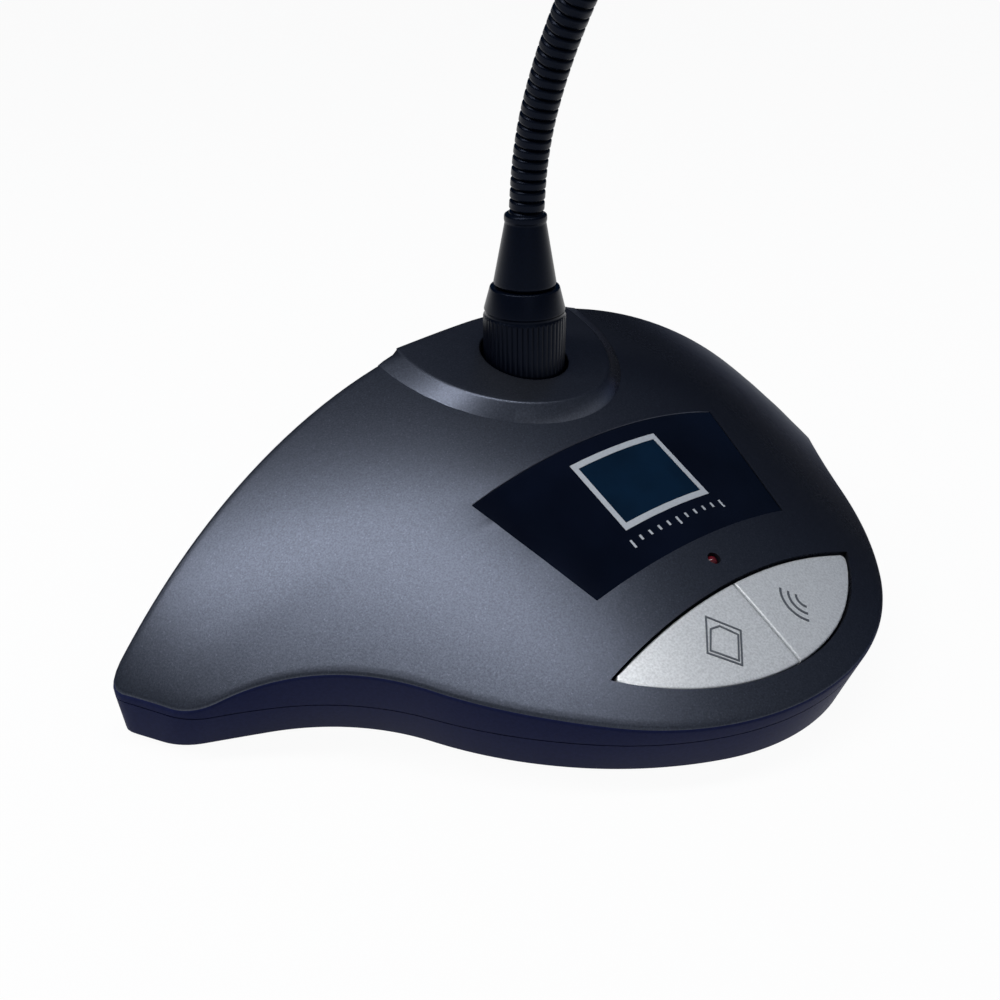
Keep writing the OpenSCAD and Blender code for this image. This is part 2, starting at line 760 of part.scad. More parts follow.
module display_window() {
    color(jet) intersection() {
        translate([0, display_y, display_z - 30]) linear_extrude(60) window_plan(0);
        on_face() layer(window_sink, window_sink + window_t, -30, 30);
    }
}

module lcd_module() {
    color(jet) on_face() translate([-lcd_w / 2, -lcd_l / 2 + 1, -board_depth]) difference() {
        cube([lcd_w, lcd_l, board_depth - 3.6]);
        translate([2, 2, board_depth - 4.2]) cube([lcd_w - 4, lcd_l - 4, 2]);
    }
}

module display_board() {
    color(board_green) on_face() translate([0, 0, board_low]) difference() {
        linear_extrude(board_t) polygon([[-46, 11], [46, 11], [42, -18], [-42, -18]]);
        both_sides() for (p = display_bosses) translate([p[0], p[1], -1])
            cylinder(r = small_r + pass_gap, h = 5);
    }
}

module display_screws() {
    color(steel) on_face() both_sides() for (p = display_bosses) translate([p[0], p[1], board_low])
        screw(small_r, screw_grip, small_head_r, small_head_h);
}

module key_board() {
    color(board_green) on_keys() translate([0, 0, board_low]) difference() {
        linear_extrude(board_t)
            polygon([
                [-36, 20], [36, 20], [36, 10.5], [20, -9.5],
                [5, board_nose], [-5, board_nose], [-20, -9.5], [-36, 10.5]
            ]);
        for (p = key_bosses) translate([p[0], p[1], -1]) cylinder(r = small_r + pass_gap, h = 5);
    }
}

module key_screws() {
    color(steel) on_keys() for (p = key_bosses) translate([p[0], p[1], board_low])
        screw(small_r, screw_grip, small_head_r, small_head_h);
}

module switch_bodies() {
    color(jet) on_keys() both_sides() difference() {
        translate([switch_x - switch_side / 2, -switch_side / 2, -board_depth])
            cube([switch_side, switch_side, board_depth + switch_top]);
        translate([switch_x, 0, plunger_low - key_travel - 0.3]) cylinder(r = plunger_r + plunger_room, h = 10);
    }
}

module status_light() {
    color("#7a1414") on_keys() translate([0, led_v, 0]) rotate_extrude() intersection() {
        union() {
            translate([0, -0.6 - led_d / 2]) circle(led_d / 2);
            translate([0, -board_depth]) square([led_d / 2, board_depth - 0.6 - led_d / 2]);
            translate([0, -board_depth]) square([led_d / 2 + 0.5, 1]);
        }
        translate([0, -board_depth]) square([5, 20]);
    }
}

// One key, on the right; its face follows the top face
module key() {
    union() {
        difference() {
            union() {
                intersection() {
                    linear_extrude(60, center = true) key_plan(-key_gap, key_gap / 2);
                    layer(key_sink, flange_low, -20, 20);
                }
                difference() {
                    intersection() {
                        linear_extrude(60, center = true) key_plan(key_flange, key_gap / 2);
                        layer(flange_top, flange_low, -20, 20);
                    }
                    translate([0, front_boss, -20]) cylinder(r = small_boss_r + key_gap, h = 40);
                }
            }
            intersection() {
                linear_extrude(60, center = true) key_plan(-key_gap - key_wall, key_gap / 2 + key_wall);
                under_face(key_sink + key_t, -20, 20, 20);
            }
        }
        translate([switch_x, 0, stem_low]) cylinder(r = stem_r, h = -stem_low - key_sink - key_t / 2 - sag(switch_x));
    }
}

module priority_key() {
    color(silver) on_keys() mirror([1, 0, 0]) key();
}

module talk_key() {
    color(silver) on_keys() key();
}

module plunger() {
    translate([switch_x, 0, plunger_low]) cylinder(r = plunger_r, h = stem_low - plunger_low);
}

module priority_plunger() {
    color(jet) on_keys() mirror([1, 0, 0]) plunger();
}

module talk_plunger() {
    color(jet) on_keys() plunger();
}

module neck_socket() {
    color(jet) difference() {
        union() {
            intersection() {
                translate([0, 0, socket_z]) cylinder(r = socket_flange_r, h = socket_flange_t);
                translate([-30, -30, 0]) cube([60, 30 + rear_reach - wall - 0.8, 100]);
            }
            translate([0, 0, socket_z]) cylinder(r = stub_r, h = stub_top - socket_z);
        }
        translate([0, 0, insert_low]) cylinder(r = stub_bore_r, h = 40);
        translate([0, 0, socket_z - 1]) cylinder(r = stub_bore_r - 1.5, h = 10);
        socket_places() translate([0, 0, socket_z - 1]) cylinder(r = small_r + pass_gap, h = 10);
    }
}

module contact_places(n) {
    for (i = [0 : n - 1]) rotate(i * 360 / n) translate([0, contact_ring_r, 0]) children();
}

module socket_insert() {
    color("#2b2c30") difference() {
        translate([0, 0, insert_low]) cylinder(r = stub_bore_r - seat_gap, h = insert_top - insert_low);
        contact_places(contact_n) translate([0, 0, socket_z]) cylinder(r = contact_r + screw_gap, h = 20);
    }
}

module socket_pins() {
    color(silver) contact_places(contact_n) {
        translate([0, 0, insert_low - 2]) cylinder(r = contact_r, h = contact_top - contact_r - insert_low + 2);
        translate([0, 0, contact_top - contact_r]) cylinder(r1 = contact_r, r2 = contact_r / 2, h = contact_r);
    }
}

module socket_screws() {
    color(steel) socket_places() translate([0, 0, socket_z])
        screw(small_r, screw_grip, small_head_r, small_head_h);
}

module link_socket_shells() {
    color(jet) link_places() difference() {
        union() {
            translate([0, 0, link_back - 1]) cylinder(r = link_r, h = link_mouth - link_back + 1);
            translate([-link_flange / 2, -link_flange / 2, link_flange_y - link_flange_t])
                cube([link_flange, link_flange, link_flange_t]);
        }
        translate([0, 0, link_seat]) cylinder(r = link_bore_r, h = 20);
        translate([0, 0, link_back]) cylinder(r = link_insert_r + seat_gap, h = 20);
        translate([0, 0, link_back - 2]) cylinder(r = link_insert_r - 1.2, h = 20);
        for (side = [-1, 1]) translate([side * link_screw, side * link_screw, 0])
            cylinder(r = small_hole_r, h = 30);
    }
}

module link_socket_inserts() {
    color("#2b2c30") link_places() difference() {
        translate([0, 0, link_back]) cylinder(r = link_insert_r, h = link_insert_t);
        for (i = [0 : link_contact_n - 1]) rotate(i * 360 / link_contact_n) translate([4, 0, 0])
            cylinder(r = 0.55, h = 30);
        cylinder(r = 0.55, h = 30);
    }
}

module link_socket_screws() {
    color(steel) link_screw_places() translate([0, 0, rear_reach]) mirror([0, 0, 1])
        screw(small_r, rear_reach - link_flange_y + 3, small_head_r, link_head_h);
}

module mic_lead() {
    top = main_z + board_t + 5;
    color(jet) flat_lead([[0, insert_low - 3.2], [0, 36], [-9, 25], [-15.5, 25], [-15.5, top + 0.8]], 1.6, 6);
}

module display_lead() {
    top = main_z + board_t + 4;
    color(jet) flat_lead([[-29, display_z - board_depth - 2], [-29, top + 0.4]], 0.6, 14);
}

module link_leads() {
    top = main_z + board_t + 4;
    color(jet) for (side = [-1, 1]) translate([side * link_x, 0, 0])
        flat_lead([[link_back - 1.6, link_z], [-12, link_z], [-15.5, link_z - 1], [-15.5, top + 0.8]], 1.6, 5);
}

// Neck side
module locking_ring() {
    color(jet) difference() {
        union() {
            translate([0, 0, ring_low]) linear_extrude(ring_mid - ring_low)
                polygon([for (i = [0 : 2 * ring_ribs - 1])
                    (ring_r - (i % 2) * rib_depth) * [cos(i * 180 / ring_ribs), sin(i * 180 / ring_ribs)]]);
            translate([0, 0, ring_mid]) cylinder(r1 = ring_r - 0.2, r2 = ring_top_r, h = ring_top - ring_mid);
        }
        translate([0, 0, ring_low - 1]) cylinder(r = ring_bore_r, h = ring_seat - ring_low + 1);
        cylinder(r = ring_neck_r, h = 100);
    }
}

module neck_sleeve() {
    color(jet) rotate_extrude() polygon(concat(
        [[bore_r, sleeve_low], [sleeve_flange_r, sleeve_low], [sleeve_flange_r, sleeve_flange_z]],
        [[sleeve_neck_r, sleeve_flange_z], [sleeve_neck_r, sleeve_cone_z], [sleeve_r - 0.3, sleeve_cone_z]],
        [[sleeve_r, sleeve_cone_z + 0.6]],
        cap(ball_r, neck_z, sleeve_top_r, bore_r)
    ));
}

module plug_shell() {
    color(silver) translate([0, 0, plug_low]) difference() {
        cylinder(r = plug_r, h = sleeve_low - plug_low);
        translate([0, 0, -1]) cylinder(r = plug_r - plug_wall, h = sleeve_low - plug_low - 1);
        cylinder(r = bore_r, h = 40);
    }
}

module plug_insert() {
    color("#2b2c30") difference() {
        translate([0, 0, plug_low]) cylinder(r = plug_r - plug_wall - seat_gap / 2, h = plug_insert_top - plug_low);
        contact_places(contact_n) cylinder(r = contact_r + 0.4, h = contact_top + 0.6);
    }
}

// One link, standing on its pivot at the origin; the next pivot is link_l higher
module link() {
    low = sqrt(pow(ball_r + ball_gap, 2) - neck_r * neck_r);
    high = link_l + sqrt(ball_r * ball_r - neck_r * neck_r);
    pitch = (high - low) / link_ribs;
    rotate_extrude() polygon(concat(
        cap(ball_r + ball_gap, 0, bore_r, neck_r),
        [for (k = [1 : link_ribs - 1], v = [-0.25, -0.1, 0.1, 0.25])
            [neck_r - (abs(v) < 0.2 ? rib_cut : 0), low + pitch * (k + v)]],
        cap(ball_r, link_l, neck_r, bore_r)
    ));
}

module place_link(i) {
    translate(pivot(i)) rotate([tilt(i), 0, 0]) children();
}

module neck_link(i) {
    color(jet) place_link(i) link();
}

module head_collar() {
    color(jet) place_link(link_n) rotate_extrude() polygon(concat(
        cap(ball_r + ball_gap, link_l, bore_r, neck_r),
        [[neck_r + 0.4, collar_z + 0.8], [housing_r - 0.4, light_z - 3], [housing_r - 0.4, light_z], [bore_r, light_z]]
    ));
}

module light_ring() {
    color("#8c2a26") place_link(link_n) translate([0, 0, light_z]) difference() {
        cylinder(r = light_r, h = light_l);
        translate([0, 0, -1]) cylinder(r = bore_r, h = light_l + 2);
    }
}

module capsule_housing() {
    color(jet) place_link(link_n) translate([0, 0, housing_z]) difference() {
        cylinder(r = housing_r, h = housing_l);
        translate([0, 0, 2]) cylinder(r = housing_r - housing_wall, h = housing_l - 4);
        translate([0, 0, -1]) cylinder(r = bore_r, h = 5);
        for (i = [0 : slot_n - 1]) rotate(i * 360 / slot_n) {
            translate([housing_r / 2, -1.1, housing_l - 12]) cube([housing_r, 2.2, 7]);
            translate([housing_r / 2, -1.1, 9]) cube([housing_r, 2.2, 10]);
            translate([3.2, 0, housing_l - 5]) cylinder(r = 0.9, h = 10);
        }
        translate([0, 0, housing_l - 5]) cylinder(r = 0.9, h = 10);
    }
}

module capsule() {
    color(silver) place_link(link_n) translate([0, 0, capsule_z]) difference() {
        cylinder(r = housing_r - housing_wall - seat_gap / 2, h = capsule_l);
        translate([0, 0, capsule_l - 1]) cylinder(r = 1, h = 2);
        for (i = [0 : 5]) rotate(i * 60) translate([3, 0, capsule_l - 1]) cylinder(r = 0.6, h = 2);
    }
}

module foam_windscreen() {
    lip = 2.5;
    color("#1b1c1f") place_link(link_n) rotate_extrude() difference() {
        union() {
            translate([0, foam_z + lip]) square([foam_r, foam_nose - foam_z - lip]);
            translate([0, foam_z]) square([foam_r - lip, lip + 1]);
            translate([foam_r - lip, foam_z + lip]) circle(lip);
            intersection() {
                translate([0, foam_nose]) circle(foam_r);
                translate([0, foam_nose - 1]) square([foam_r, foam_r + 2]);
            }
        }
        translate([0, foam_z - 1]) square([housing_r + seat_gap, housing_z + housing_l - foam_z + 1.2]);
    }
}

in_frame() upper_shell();
in_frame() bottom_shell();
in_frame() rubber_feet();
in_frame() housing_screws();
in_frame() ballast_plate();
in_frame() ballast_screws();
in_frame() main_board();
in_frame() board_components();
in_frame() board_screws();
in_frame() display_window();
in_frame() lcd_module();
in_frame() display_board();
in_frame() display_screws();
in_frame() key_board();
in_frame() key_screws();
in_frame() switch_bodies();
in_frame() status_light();
in_frame() neck_socket();
in_frame() socket_insert();
in_frame() socket_pins();
in_frame() socket_screws();
in_frame() link_socket_shells();
in_frame() link_socket_inserts();
in_frame() link_socket_screws();
in_frame() mic_lead();
in_frame() display_lead();
in_frame() link_leads();
in_frame() priority_key();
in_frame() talk_key();
in_frame() priority_plunger();
in_frame() talk_plunger();
in_frame() locking_ring();
in_frame() neck_sleeve();
in_frame() plug_shell();
in_frame() plug_insert();
in_frame() neck_link(1);  // neck_link_01
in_frame() neck_link(2);  // neck_link_02
in_frame() neck_link(3);  // neck_link_03
in_frame() neck_link(4);  // neck_link_04
in_frame() neck_link(5);  // neck_link_05
in_frame() neck_link(6);  // neck_link_06
in_frame() neck_link(7);  // neck_link_07
in_frame() neck_link(8);  // neck_link_08
in_frame() neck_link(9);  // neck_link_09
in_frame() neck_link(10);  // neck_link_10
in_frame() neck_link(11);  // neck_link_11
in_frame() neck_link(12);  // neck_link_12
in_frame() neck_link(13);  // neck_link_13
in_frame() neck_link(14);  // neck_link_14
in_frame() neck_link(15);  // neck_link_15
in_frame() neck_link(16);  // neck_link_16
in_frame() head_collar();
in_frame() light_ring();
in_frame() capsule_housing();
in_frame() capsule();
in_frame() foam_windscreen();
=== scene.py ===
import json
from math import atan2, cos, pi, radians, sin, sqrt, tan

import bpy
from bpy.props import FloatProperty, FloatVectorProperty, PointerProperty
from mathutils import Matrix, Vector


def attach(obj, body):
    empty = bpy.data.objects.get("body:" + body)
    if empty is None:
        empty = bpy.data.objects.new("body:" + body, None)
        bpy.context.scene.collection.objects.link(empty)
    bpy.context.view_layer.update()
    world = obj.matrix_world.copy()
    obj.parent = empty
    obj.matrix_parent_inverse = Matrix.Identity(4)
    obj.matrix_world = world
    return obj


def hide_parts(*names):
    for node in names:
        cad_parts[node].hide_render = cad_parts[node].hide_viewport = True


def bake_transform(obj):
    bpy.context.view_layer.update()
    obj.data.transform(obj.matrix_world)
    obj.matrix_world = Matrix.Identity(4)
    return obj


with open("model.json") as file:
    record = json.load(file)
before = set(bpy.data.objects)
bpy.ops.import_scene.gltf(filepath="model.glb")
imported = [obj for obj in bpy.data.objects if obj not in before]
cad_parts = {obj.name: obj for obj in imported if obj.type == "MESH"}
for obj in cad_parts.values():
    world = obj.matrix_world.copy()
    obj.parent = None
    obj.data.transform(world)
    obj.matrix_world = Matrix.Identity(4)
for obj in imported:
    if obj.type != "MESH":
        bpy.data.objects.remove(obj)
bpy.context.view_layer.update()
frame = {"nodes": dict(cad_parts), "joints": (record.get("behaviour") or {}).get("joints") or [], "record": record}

bl_info = {
    "name": "Gooseneck conference microphone",
    "version": (1, 0, 0),
    "blender": (4, 5, 0),
    "location": "3D View > Sidebar > Microphone",
    "description": "Dresses the packed conference microphone and sets its studio",
    "category": "Object",
}

JOINTS = {joint["name"]: joint for joint in frame["joints"]}
MM = 0.001
NECK_Y = JOINTS["ring_turn"]["pos_m"][1] / MM

# Top face of the base, in millimetres from the neck axis, as in the part's source
FACE_SLOPE = radians(26.5)
DISPLAY = (-41.6, 44.0)
SIDE_R, CROWN_R, BROW_R = 161.0, 228.0, 380.0
REAR_RUN, FRONT_RUN = 15.8, 30.6
REAR_REACH, REAR_R = 17.4, 635.0
BASE_Z, PARTING_Z = 1.0, 10.7
SEAM_HALF, BASE_ROUND = 0.15, 0.7

# Outline legs: radius and turn in degrees, or a straight run with no turn
RIM_NOSE = 97.5
RIM_LEGS = ((68.9, 42.3), (128.4, 17.0), (100.5, -26.0), (19.7, 34.0))
TIP_ROUND = 5.0
FOOT_NOSE = 92.5
FOOT_LEGS = ((48.7, 25.7), (87.5, 42.1), (49.3, -43.3), (14.4, 0.0), (13.4, 41.6))

# Pad round the neck: its slope, and the ellipses of its top edge and of the foot of its riser,
# each by the place of its centre behind the neck, its half width and its half depth
PAD_Z, PAD_SLOPE, PAD_R = 63.5, radians(15), 290.0
PAD_TOP = (12.1, 27.2, 32.1)
PAD_FOOT = (16.0, 33.0, 38.1)
PAD_ROUND, PAD_WALL, RISER_LEAST = 0.5, 9, 0.6
RING_HOLE_R = 10.95

# Window, light and keys; lengths on the slope are measured from the middle of the display or of the keys
WINDOW = {"back": 14.2, "front": -17.2, "back_w": 40.1, "front_w": 31.7, "sink": 0.2}
WINDOW_GAP = 0.1
FRAME_UP, FRAME_HALF_W, FRAME_HALF_D, FRAME_LINE = 0.9, 13.35, 8.55, 1.45
TICKS = {"count": 11, "step": 3, "first": -15, "half": 0.3, "tall": 2.0, "short": 1.2, "down": 3.0}
PRINT_LIFT, PRINT_T = 0.02, 0.05
LED_DOWN, LED_HOLE_R = 25.3, 1.6
KEY_MID, KEY_BACK, KEY_FRONT, KEY_TIP_X, KEY_TIP = 42.5, 10.6, 13.0, 41.0, 5.3
KEY_GAP, KEY_SINK, KEY_DEPTH = 0.5, 0.8, 2.4
KEY_TIP_CUT, KEY_TIP_BOW = 2.2, 0.5
KEY_SLOPE = FACE_SLOPE + (KEY_MID - FRONT_RUN) / BROW_R
RHOMB = ((-12.7, 6.4), (-7.8, -0.1), (-13.6, -6.7), (-18.6, -0.6))
RHOMB_INSET = ((-13.9, 3.5), (-11.5, 3.1), (-9.1, -0.6), (-13.5, -5.5), (-17.6, -0.5))
SOUND_MID, SOUND_RADII = (14.6, -0.8), (2.4, 4.4, 6.4)
RHOMB_LINE, SOUND_LINE, MARK_T = 0.4, 0.55, 0.16

# Rear sockets, and the screws and feet of the underside with the radius and depth of their recesses
LINK_X, LINK_Z, LINK_HOLE_R = 22.0, 24.0, 7.7
CASE_SCREWS, SCREW_RECESS = ((42, -58), (62, 5), (98, 0)), (2.8, 2.2)
FEET, FOOT_RECESS = ((20, -78), (82, 3)), (6.1, 0.8)

# Locking ring: its ribs and the heights between which they run, and profiles of ring and sleeve as radius,
# height and, where it differs from the rest, the rounding of the corner
RING_RIBS, RIB_DEPTH, RIB_INNER = 48, 0.42, 9.2
RIB_LOW, RIB_HIGH, RIB_RUNOUT = 58.5, 73.9, 0.8
RING_PROFILE = (
    (8.3, 60), (8.3, 58), (9.9, 58), (10.15, 58.6), (10.15, 73.6), (9.75, 74.2), (9.75, 74.8),
    (9.95, 75.2), (8.5, 80.7), (8.1, 80.9), (6.85, 80.9), (6.85, 77))
SLEEVE_PROFILE = (
    (2.4, 72.4, 0), (7.7, 72.4), (7.7, 75.7), (6.4, 75.7), (6.4, 81.2), (7.35, 81.2), (7.65, 81.8),
    (5.05, 95.9), (4.95, 96.4), (5.15, 97.0), (5.1, 98.2), (4.3, 98.7), (3.9, 98.2), (2.6, 97.4, 0))

# Gooseneck: its links, where it starts and ends, and the ball ends that close its stretches with their play
NECK_LINKS, LINK_L = 16, 20.0
NECK_START, NECK_TAIL, BALL_END = 2.2, 6.0, 1.2
START_PLAY, END_PLAY = 0.15, 0.3
NECK_COLUMNS, RIB_ROWS, CAP_ROWS = 40, 10, 5

# Head, as profiles along its axis from the last joint
COLLAR_PROFILE = (
    (2.4, 25.6, 0), (4.3, 25.0), (4.75, 25.6), (4.9, 27.0), (6.15, 33.2), (6.15, 35.6), (5.6, 36.0),
    (2.4, 36.0))
LIGHT_PROFILE = ((2.4, 36.0, 0), (6.5, 36.0), (7.0, 36.6), (7.0, 41.4), (6.5, 42.0), (2.4, 42.0))
FOAM_R, FOAM_FOOT, FOAM_LONG = 14.0, 47, 44
FOAM_BORE = (
    (0.0, 80.4), (6.75, 80.2), (6.75, 66), (6.75, 50), (6.9, 47.6), (8.0, 47.0), (11.4, 47.1), (13.3, 48.2),
    (13.9, 49.4))
PORE_SCALE, PORE_DEPTH = 0.0011, 0.0005

# Stage, in metres from the middle of the base: each light by the ends of its length, its width and its share
# of the key light's power. The camera stands at millimetres from the neck axis.
FLOOR_SIZE, FLOOR_DROP, FLOOR_GLOW = 30, 0.0002, 0.95
LIGHTS = {
    "strip_light": ((-0.70, 0.36, 0.62), (0.20, -0.24, 0.95), 0.14, 1.0),
    "front_light": ((-0.85, -0.85, 0.55), (-0.25, -1.15, 0.55), 0.5, 0.08),
}
ROOM_DARK, ROOM_LIGHT, ROOM_SIDE = "#1d4a78", "#c9d0dc", (-0.42, -0.80, 0.42)
CAMERA_AT, CAMERA_YAW, CAMERA_PITCH = (-199.8, -219.66, 174.38), radians(41.02), radians(27.42)
CAMERA_SHIFT = (0.0024, 0.0076)


def place(x, y, z):
    """Point of the row frame, in metres, from millimetres measured at the neck axis."""
    return Vector((x, y + NECK_Y, z)) * MM


def linear(code):
    """Linear colour of an sRGB hex code."""
    parts = [int(code[i:i + 2], 16) / 255 for i in (1, 3, 5)]
    return (*[c / 12.92 if c <= 0.04045 else ((c + 0.055) / 1.055) ** 2.4 for c in parts], 1.0)


def colour(name, description, code):
    """A colour setting."""
    return FloatVectorProperty(
        name=name, description=description, subtype="COLOR", size=4, min=0, max=1, default=linear(code))


def length(name, description, millimetres):
    """A length setting."""
    return FloatProperty(
        name=name, description=description, unit="LENGTH", min=0, precision=5, default=millimetres * MM)


class CaseSettings(bpy.types.PropertyGroup):
    paint: colour("Case paint", "Graphite flake paint of the upper shell", "#494d57")
    lower: colour("Lower case", "Plastic of the side walls and the bottom shell", "#20264a")
    window: colour("Window", "Acrylic over the display", "#080d1a")
    print: colour("Print", "Screen print on the window", "#bcc1c7")
    rim_round: length("Rim rounding", "Rounding between the top face and the side wall", 1.1)
    thickness: length("Shell thickness", "Wall of the upper shell", 2.6)


class KeySettings(bpy.types.PropertyGroup):
    paint: colour("Key paint", "Silver paint of the two keys", "#e2e4e5")
    mark: colour("Key marks", "Raised marks on the keys", "#666a70")
    edge: length("Key edge", "Rounding of the keys' edges", 0.4)


class NeckSettings(bpy.types.PropertyGroup):
    coat: colour("Neck coat", "Satin coating of ring, sleeve and gooseneck", "#02050f")
    pitch: length("Rib pitch", "Distance between the gooseneck's ribs", 2.46)
    diameter: length("Neck diameter", "Diameter over the gooseneck's ribs", 8.4)
    groove: length("Groove depth", "Depth of the grooves between ribs", 0.55)


class HeadSettings(bpy.types.PropertyGroup):
    plastic: colour("Head plastic", "Moulded collar and capsule housing", "#121317")
    lens: colour("Light lens", "Lens of the light ring and the status light", "#58101a")
    foam: colour("Foam", "Open-cell foam of the windscreen", "#111113")
    pore: length("Pore size", "Size of the foam's pores", 0.9)


class StageSettings(bpy.types.PropertyGroup):
    lens: FloatProperty(
        name="Lens", description="Focal length on a 36 mm wide sensor", unit="CAMERA", default=45.7)
    key_power: FloatProperty(
        name="Key light", description="Power of the long soft light overhead", unit="POWER", default=5.6)
    room: FloatProperty(
        name="Room light", description="Strength of the soft light from all round", min=0, default=0.4)


# Shapes of the base, in millimetres


def sag(x, radius=SIDE_R):
    """Drop of a cylinder's face at x from its middle."""
    return radius - sqrt(radius * radius - x * x)


def face_z(x, y):
    """Height of the top face over the table."""
    slope_z = DISPLAY[1] + ((y - DISPLAY[0]) * sin(FACE_SLOPE) - sag(x)) / cos(FACE_SLOPE)
    along = (y - DISPLAY[0]) * cos(FACE_SLOPE) + (slope_z - DISPLAY[1]) * sin(FACE_SLOPE)
    if -FRONT_RUN <= along <= REAR_RUN:
        return slope_z
    run, r = (REAR_RUN, CROWN_R) if along > 0 else (-FRONT_RUN, BROW_R)
    cy = DISPLAY[0] + run * cos(FACE_SLOPE) + r * sin(FACE_SLOPE)
    cz = DISPLAY[1] + run * sin(FACE_SLOPE) - r * cos(FACE_SLOPE)
    return cz + sqrt((r - sag(x)) ** 2 - (y - cy) ** 2)


def rear_y(x):
    """Place of the gently curved rear wall."""
    return REAR_REACH - x * x / (2 * REAR_R)


def leg_length(leg):
    """Way along one leg of an outline."""
    return leg[0] * radians(abs(leg[1])) if leg[1] else leg[0]


def walk(legs, nose, share):
    """Point of a half outline at a share of its way from the nose to the rear corner, x positive."""
    total = sum(leg_length(leg) for leg in legs)
    x, y, heading = 0.0, -nose, 0.0
    left = share * total
    for leg in legs:
        step = min(left, leg_length(leg))
        if leg[1]:
            turn = step / leg[0] * (1 if leg[1] > 0 else -1)
            chord = 2 * leg[0] * sin(abs(turn) / 2)
            x, y = x + chord * cos(heading + turn / 2), y + chord * sin(heading + turn / 2)
            heading += turn
        else:
            x, y = x + step * cos(heading), y + step * sin(heading)
        left -= step
        if left <= 0:
            break
    return x, y


def half_outline(legs, nose, share):
    """As walk, with the last twentieth going straight on to the rear wall."""
    body = 0.95
    if share <= body:
        return walk(legs, nose, share / body)
    x0, y0 = walk(legs, nose, 1)
    heading = radians(sum(leg[1] for leg in legs))
    x1 = x0 + (rear_y(x0) - y0) / tan(heading)
    t = (share - body) / (1 - body)
    return x0 + (x1 - x0) * t, y0 + (rear_y(x1) - y0) * t


def wall_point(share, z):
    """Point of the leaning side wall at a height."""
    fx, fy = half_outline(FOOT_LEGS, FOOT_NOSE, share)
    rx, ry = half_outline(RIM_LEGS, RIM_NOSE, share)
    t = z / face_z(rx, ry)
    return fx + (rx - fx) * t, fy + (ry - fy) * t


def bow(start, corner, end, t):
    """Point of the curve that leaves start toward the corner and reaches end."""
    return start * (1 - t) ** 2 + corner * 2 * t * (1 - t) + end * t * t


def closed_ring(right, across):
    """Closed outline from its right half, nose to rear corner, with the rear wall and its rounded corners."""
    corner = Vector(right[-1])
    rear = []
    for k in range(1, across):
        t = k / across
        x = corner.x * (0.4 * (1 - 2 * t) + 0.6 * cos(pi * t))
        rear.append((x, rear_y(x)))
    left = [(-x, y) for x, y in reversed(right[1:])]
    ring = [Vector(p) for p in right + rear + left]
    for at in (len(right) - 1, len(right) - 1 + across):
        soften(ring, at)
    return [tuple(p) for p in ring]


def soften(ring, at):
    """Rounds one corner of an outline: the points near it move onto a curve that keeps their order."""
    corner = ring[at].copy()
    reach = {k: (ring[k] - corner).length for k in range(at - 30, at + 31)}
    zone = [k for k, far in reach.items() if far < TIP_ROUND]
    start, end = [corner + (ring[k] - corner).normalized() * TIP_ROUND for k in (zone[0] - 1, zone[-1] + 1)]
    for k in zone:
        t = 0.5 + 0.5 * reach[k] / TIP_ROUND * (-1 if k < at else 1)
        ring[k] = bow(start, corner, end, t)


def wall_ring(z, count, across):
    """Closed outline of the base at a height, from the nose round by the right."""
    return closed_ring([wall_point(i / count, z) for i in range(count + 1)], across)


def rim_ring(count, across):
    """Closed outline of the top face's edge, point for point with wall_ring."""
    return closed_ring([half_outline(RIM_LEGS, RIM_NOSE, i / count) for i in range(count + 1)], across)


def pad_z(x, y):
    """Height of the pad round the neck."""
    return PAD_Z + y * tan(PAD_SLOPE) - sag(x, PAD_R) / cos(PAD_SLOPE)


def key_surface(x, v, lift=0.0):
    """Point on the keys' face: x across, v up the slope from the middle of the keys."""
    n = -sag(x) - KEY_SINK - v * v / (2 * BROW_R) + lift
    cy = DISPLAY[0] - FRONT_RUN * cos(FACE_SLOPE) + BROW_R * sin(FACE_SLOPE)
    cz = DISPLAY[1] - FRONT_RUN * sin(FACE_SLOPE) - BROW_R * cos(FACE_SLOPE)
    y0, z0 = cy - BROW_R * sin(KEY_SLOPE), cz + BROW_R * cos(KEY_SLOPE)
    y, z = y0 + v * cos(KEY_SLOPE) - n * sin(KEY_SLOPE), z0 + v * sin(KEY_SLOPE) + n * cos(KEY_SLOPE)
    return place(x, y, z)


def key_edges(x):
    """Front and back edge of the pair of keys at x, up the slope from their middle."""
    front_r = (KEY_TIP_X ** 2 + (KEY_FRONT + KEY_TIP) ** 2) / (2 * (KEY_FRONT + KEY_TIP))
    back_r = (KEY_TIP_X ** 2 + (KEY_BACK - KEY_TIP) ** 2) / (2 * (KEY_BACK - KEY_TIP))
    front = front_r - KEY_FRONT - sqrt(front_r ** 2 - x * x)
    back = KEY_BACK - back_r + sqrt(back_r ** 2 - x * x)
    return front, back


def window_surface(x, y, lift=0.0):
    """Point on the window's face or a little over it."""
    return place(x, y, face_z(x, y) + (lift - WINDOW["sink"]) / cos(FACE_SLOPE))


# Small modelling steps that the pieces share


def deselect():
    """Leaves edit mode with nothing selected."""
    if bpy.context.object and bpy.context.object.mode != "OBJECT":
        bpy.ops.object.mode_set(mode="OBJECT")
    bpy.ops.object.select_all(action="DESELECT")


def only(obj):
    """Selects one object and nothing else."""
    deselect()
    obj.select_set(True)
    bpy.context.view_layer.objects.active = obj


def pick(obj, test, kind="VERT"):
    """Selects, in edit mode, the vertices, edges or faces whose test holds; leaves edit mode on."""
    only(obj)
    bpy.ops.object.mode_set(mode="EDIT")
    bpy.ops.mesh.select_mode(type=kind)
    bpy.ops.mesh.select_all(action="DESELECT")
    bpy.ops.object.mode_set(mode="OBJECT")
    mesh = obj.data
    items = {"VERT": mesh.vertices, "EDGE": mesh.edges, "FACE": mesh.polygons}[kind]
    for item in items:
        item.select = bool(test(item))
    bpy.ops.object.mode_set(mode="EDIT")


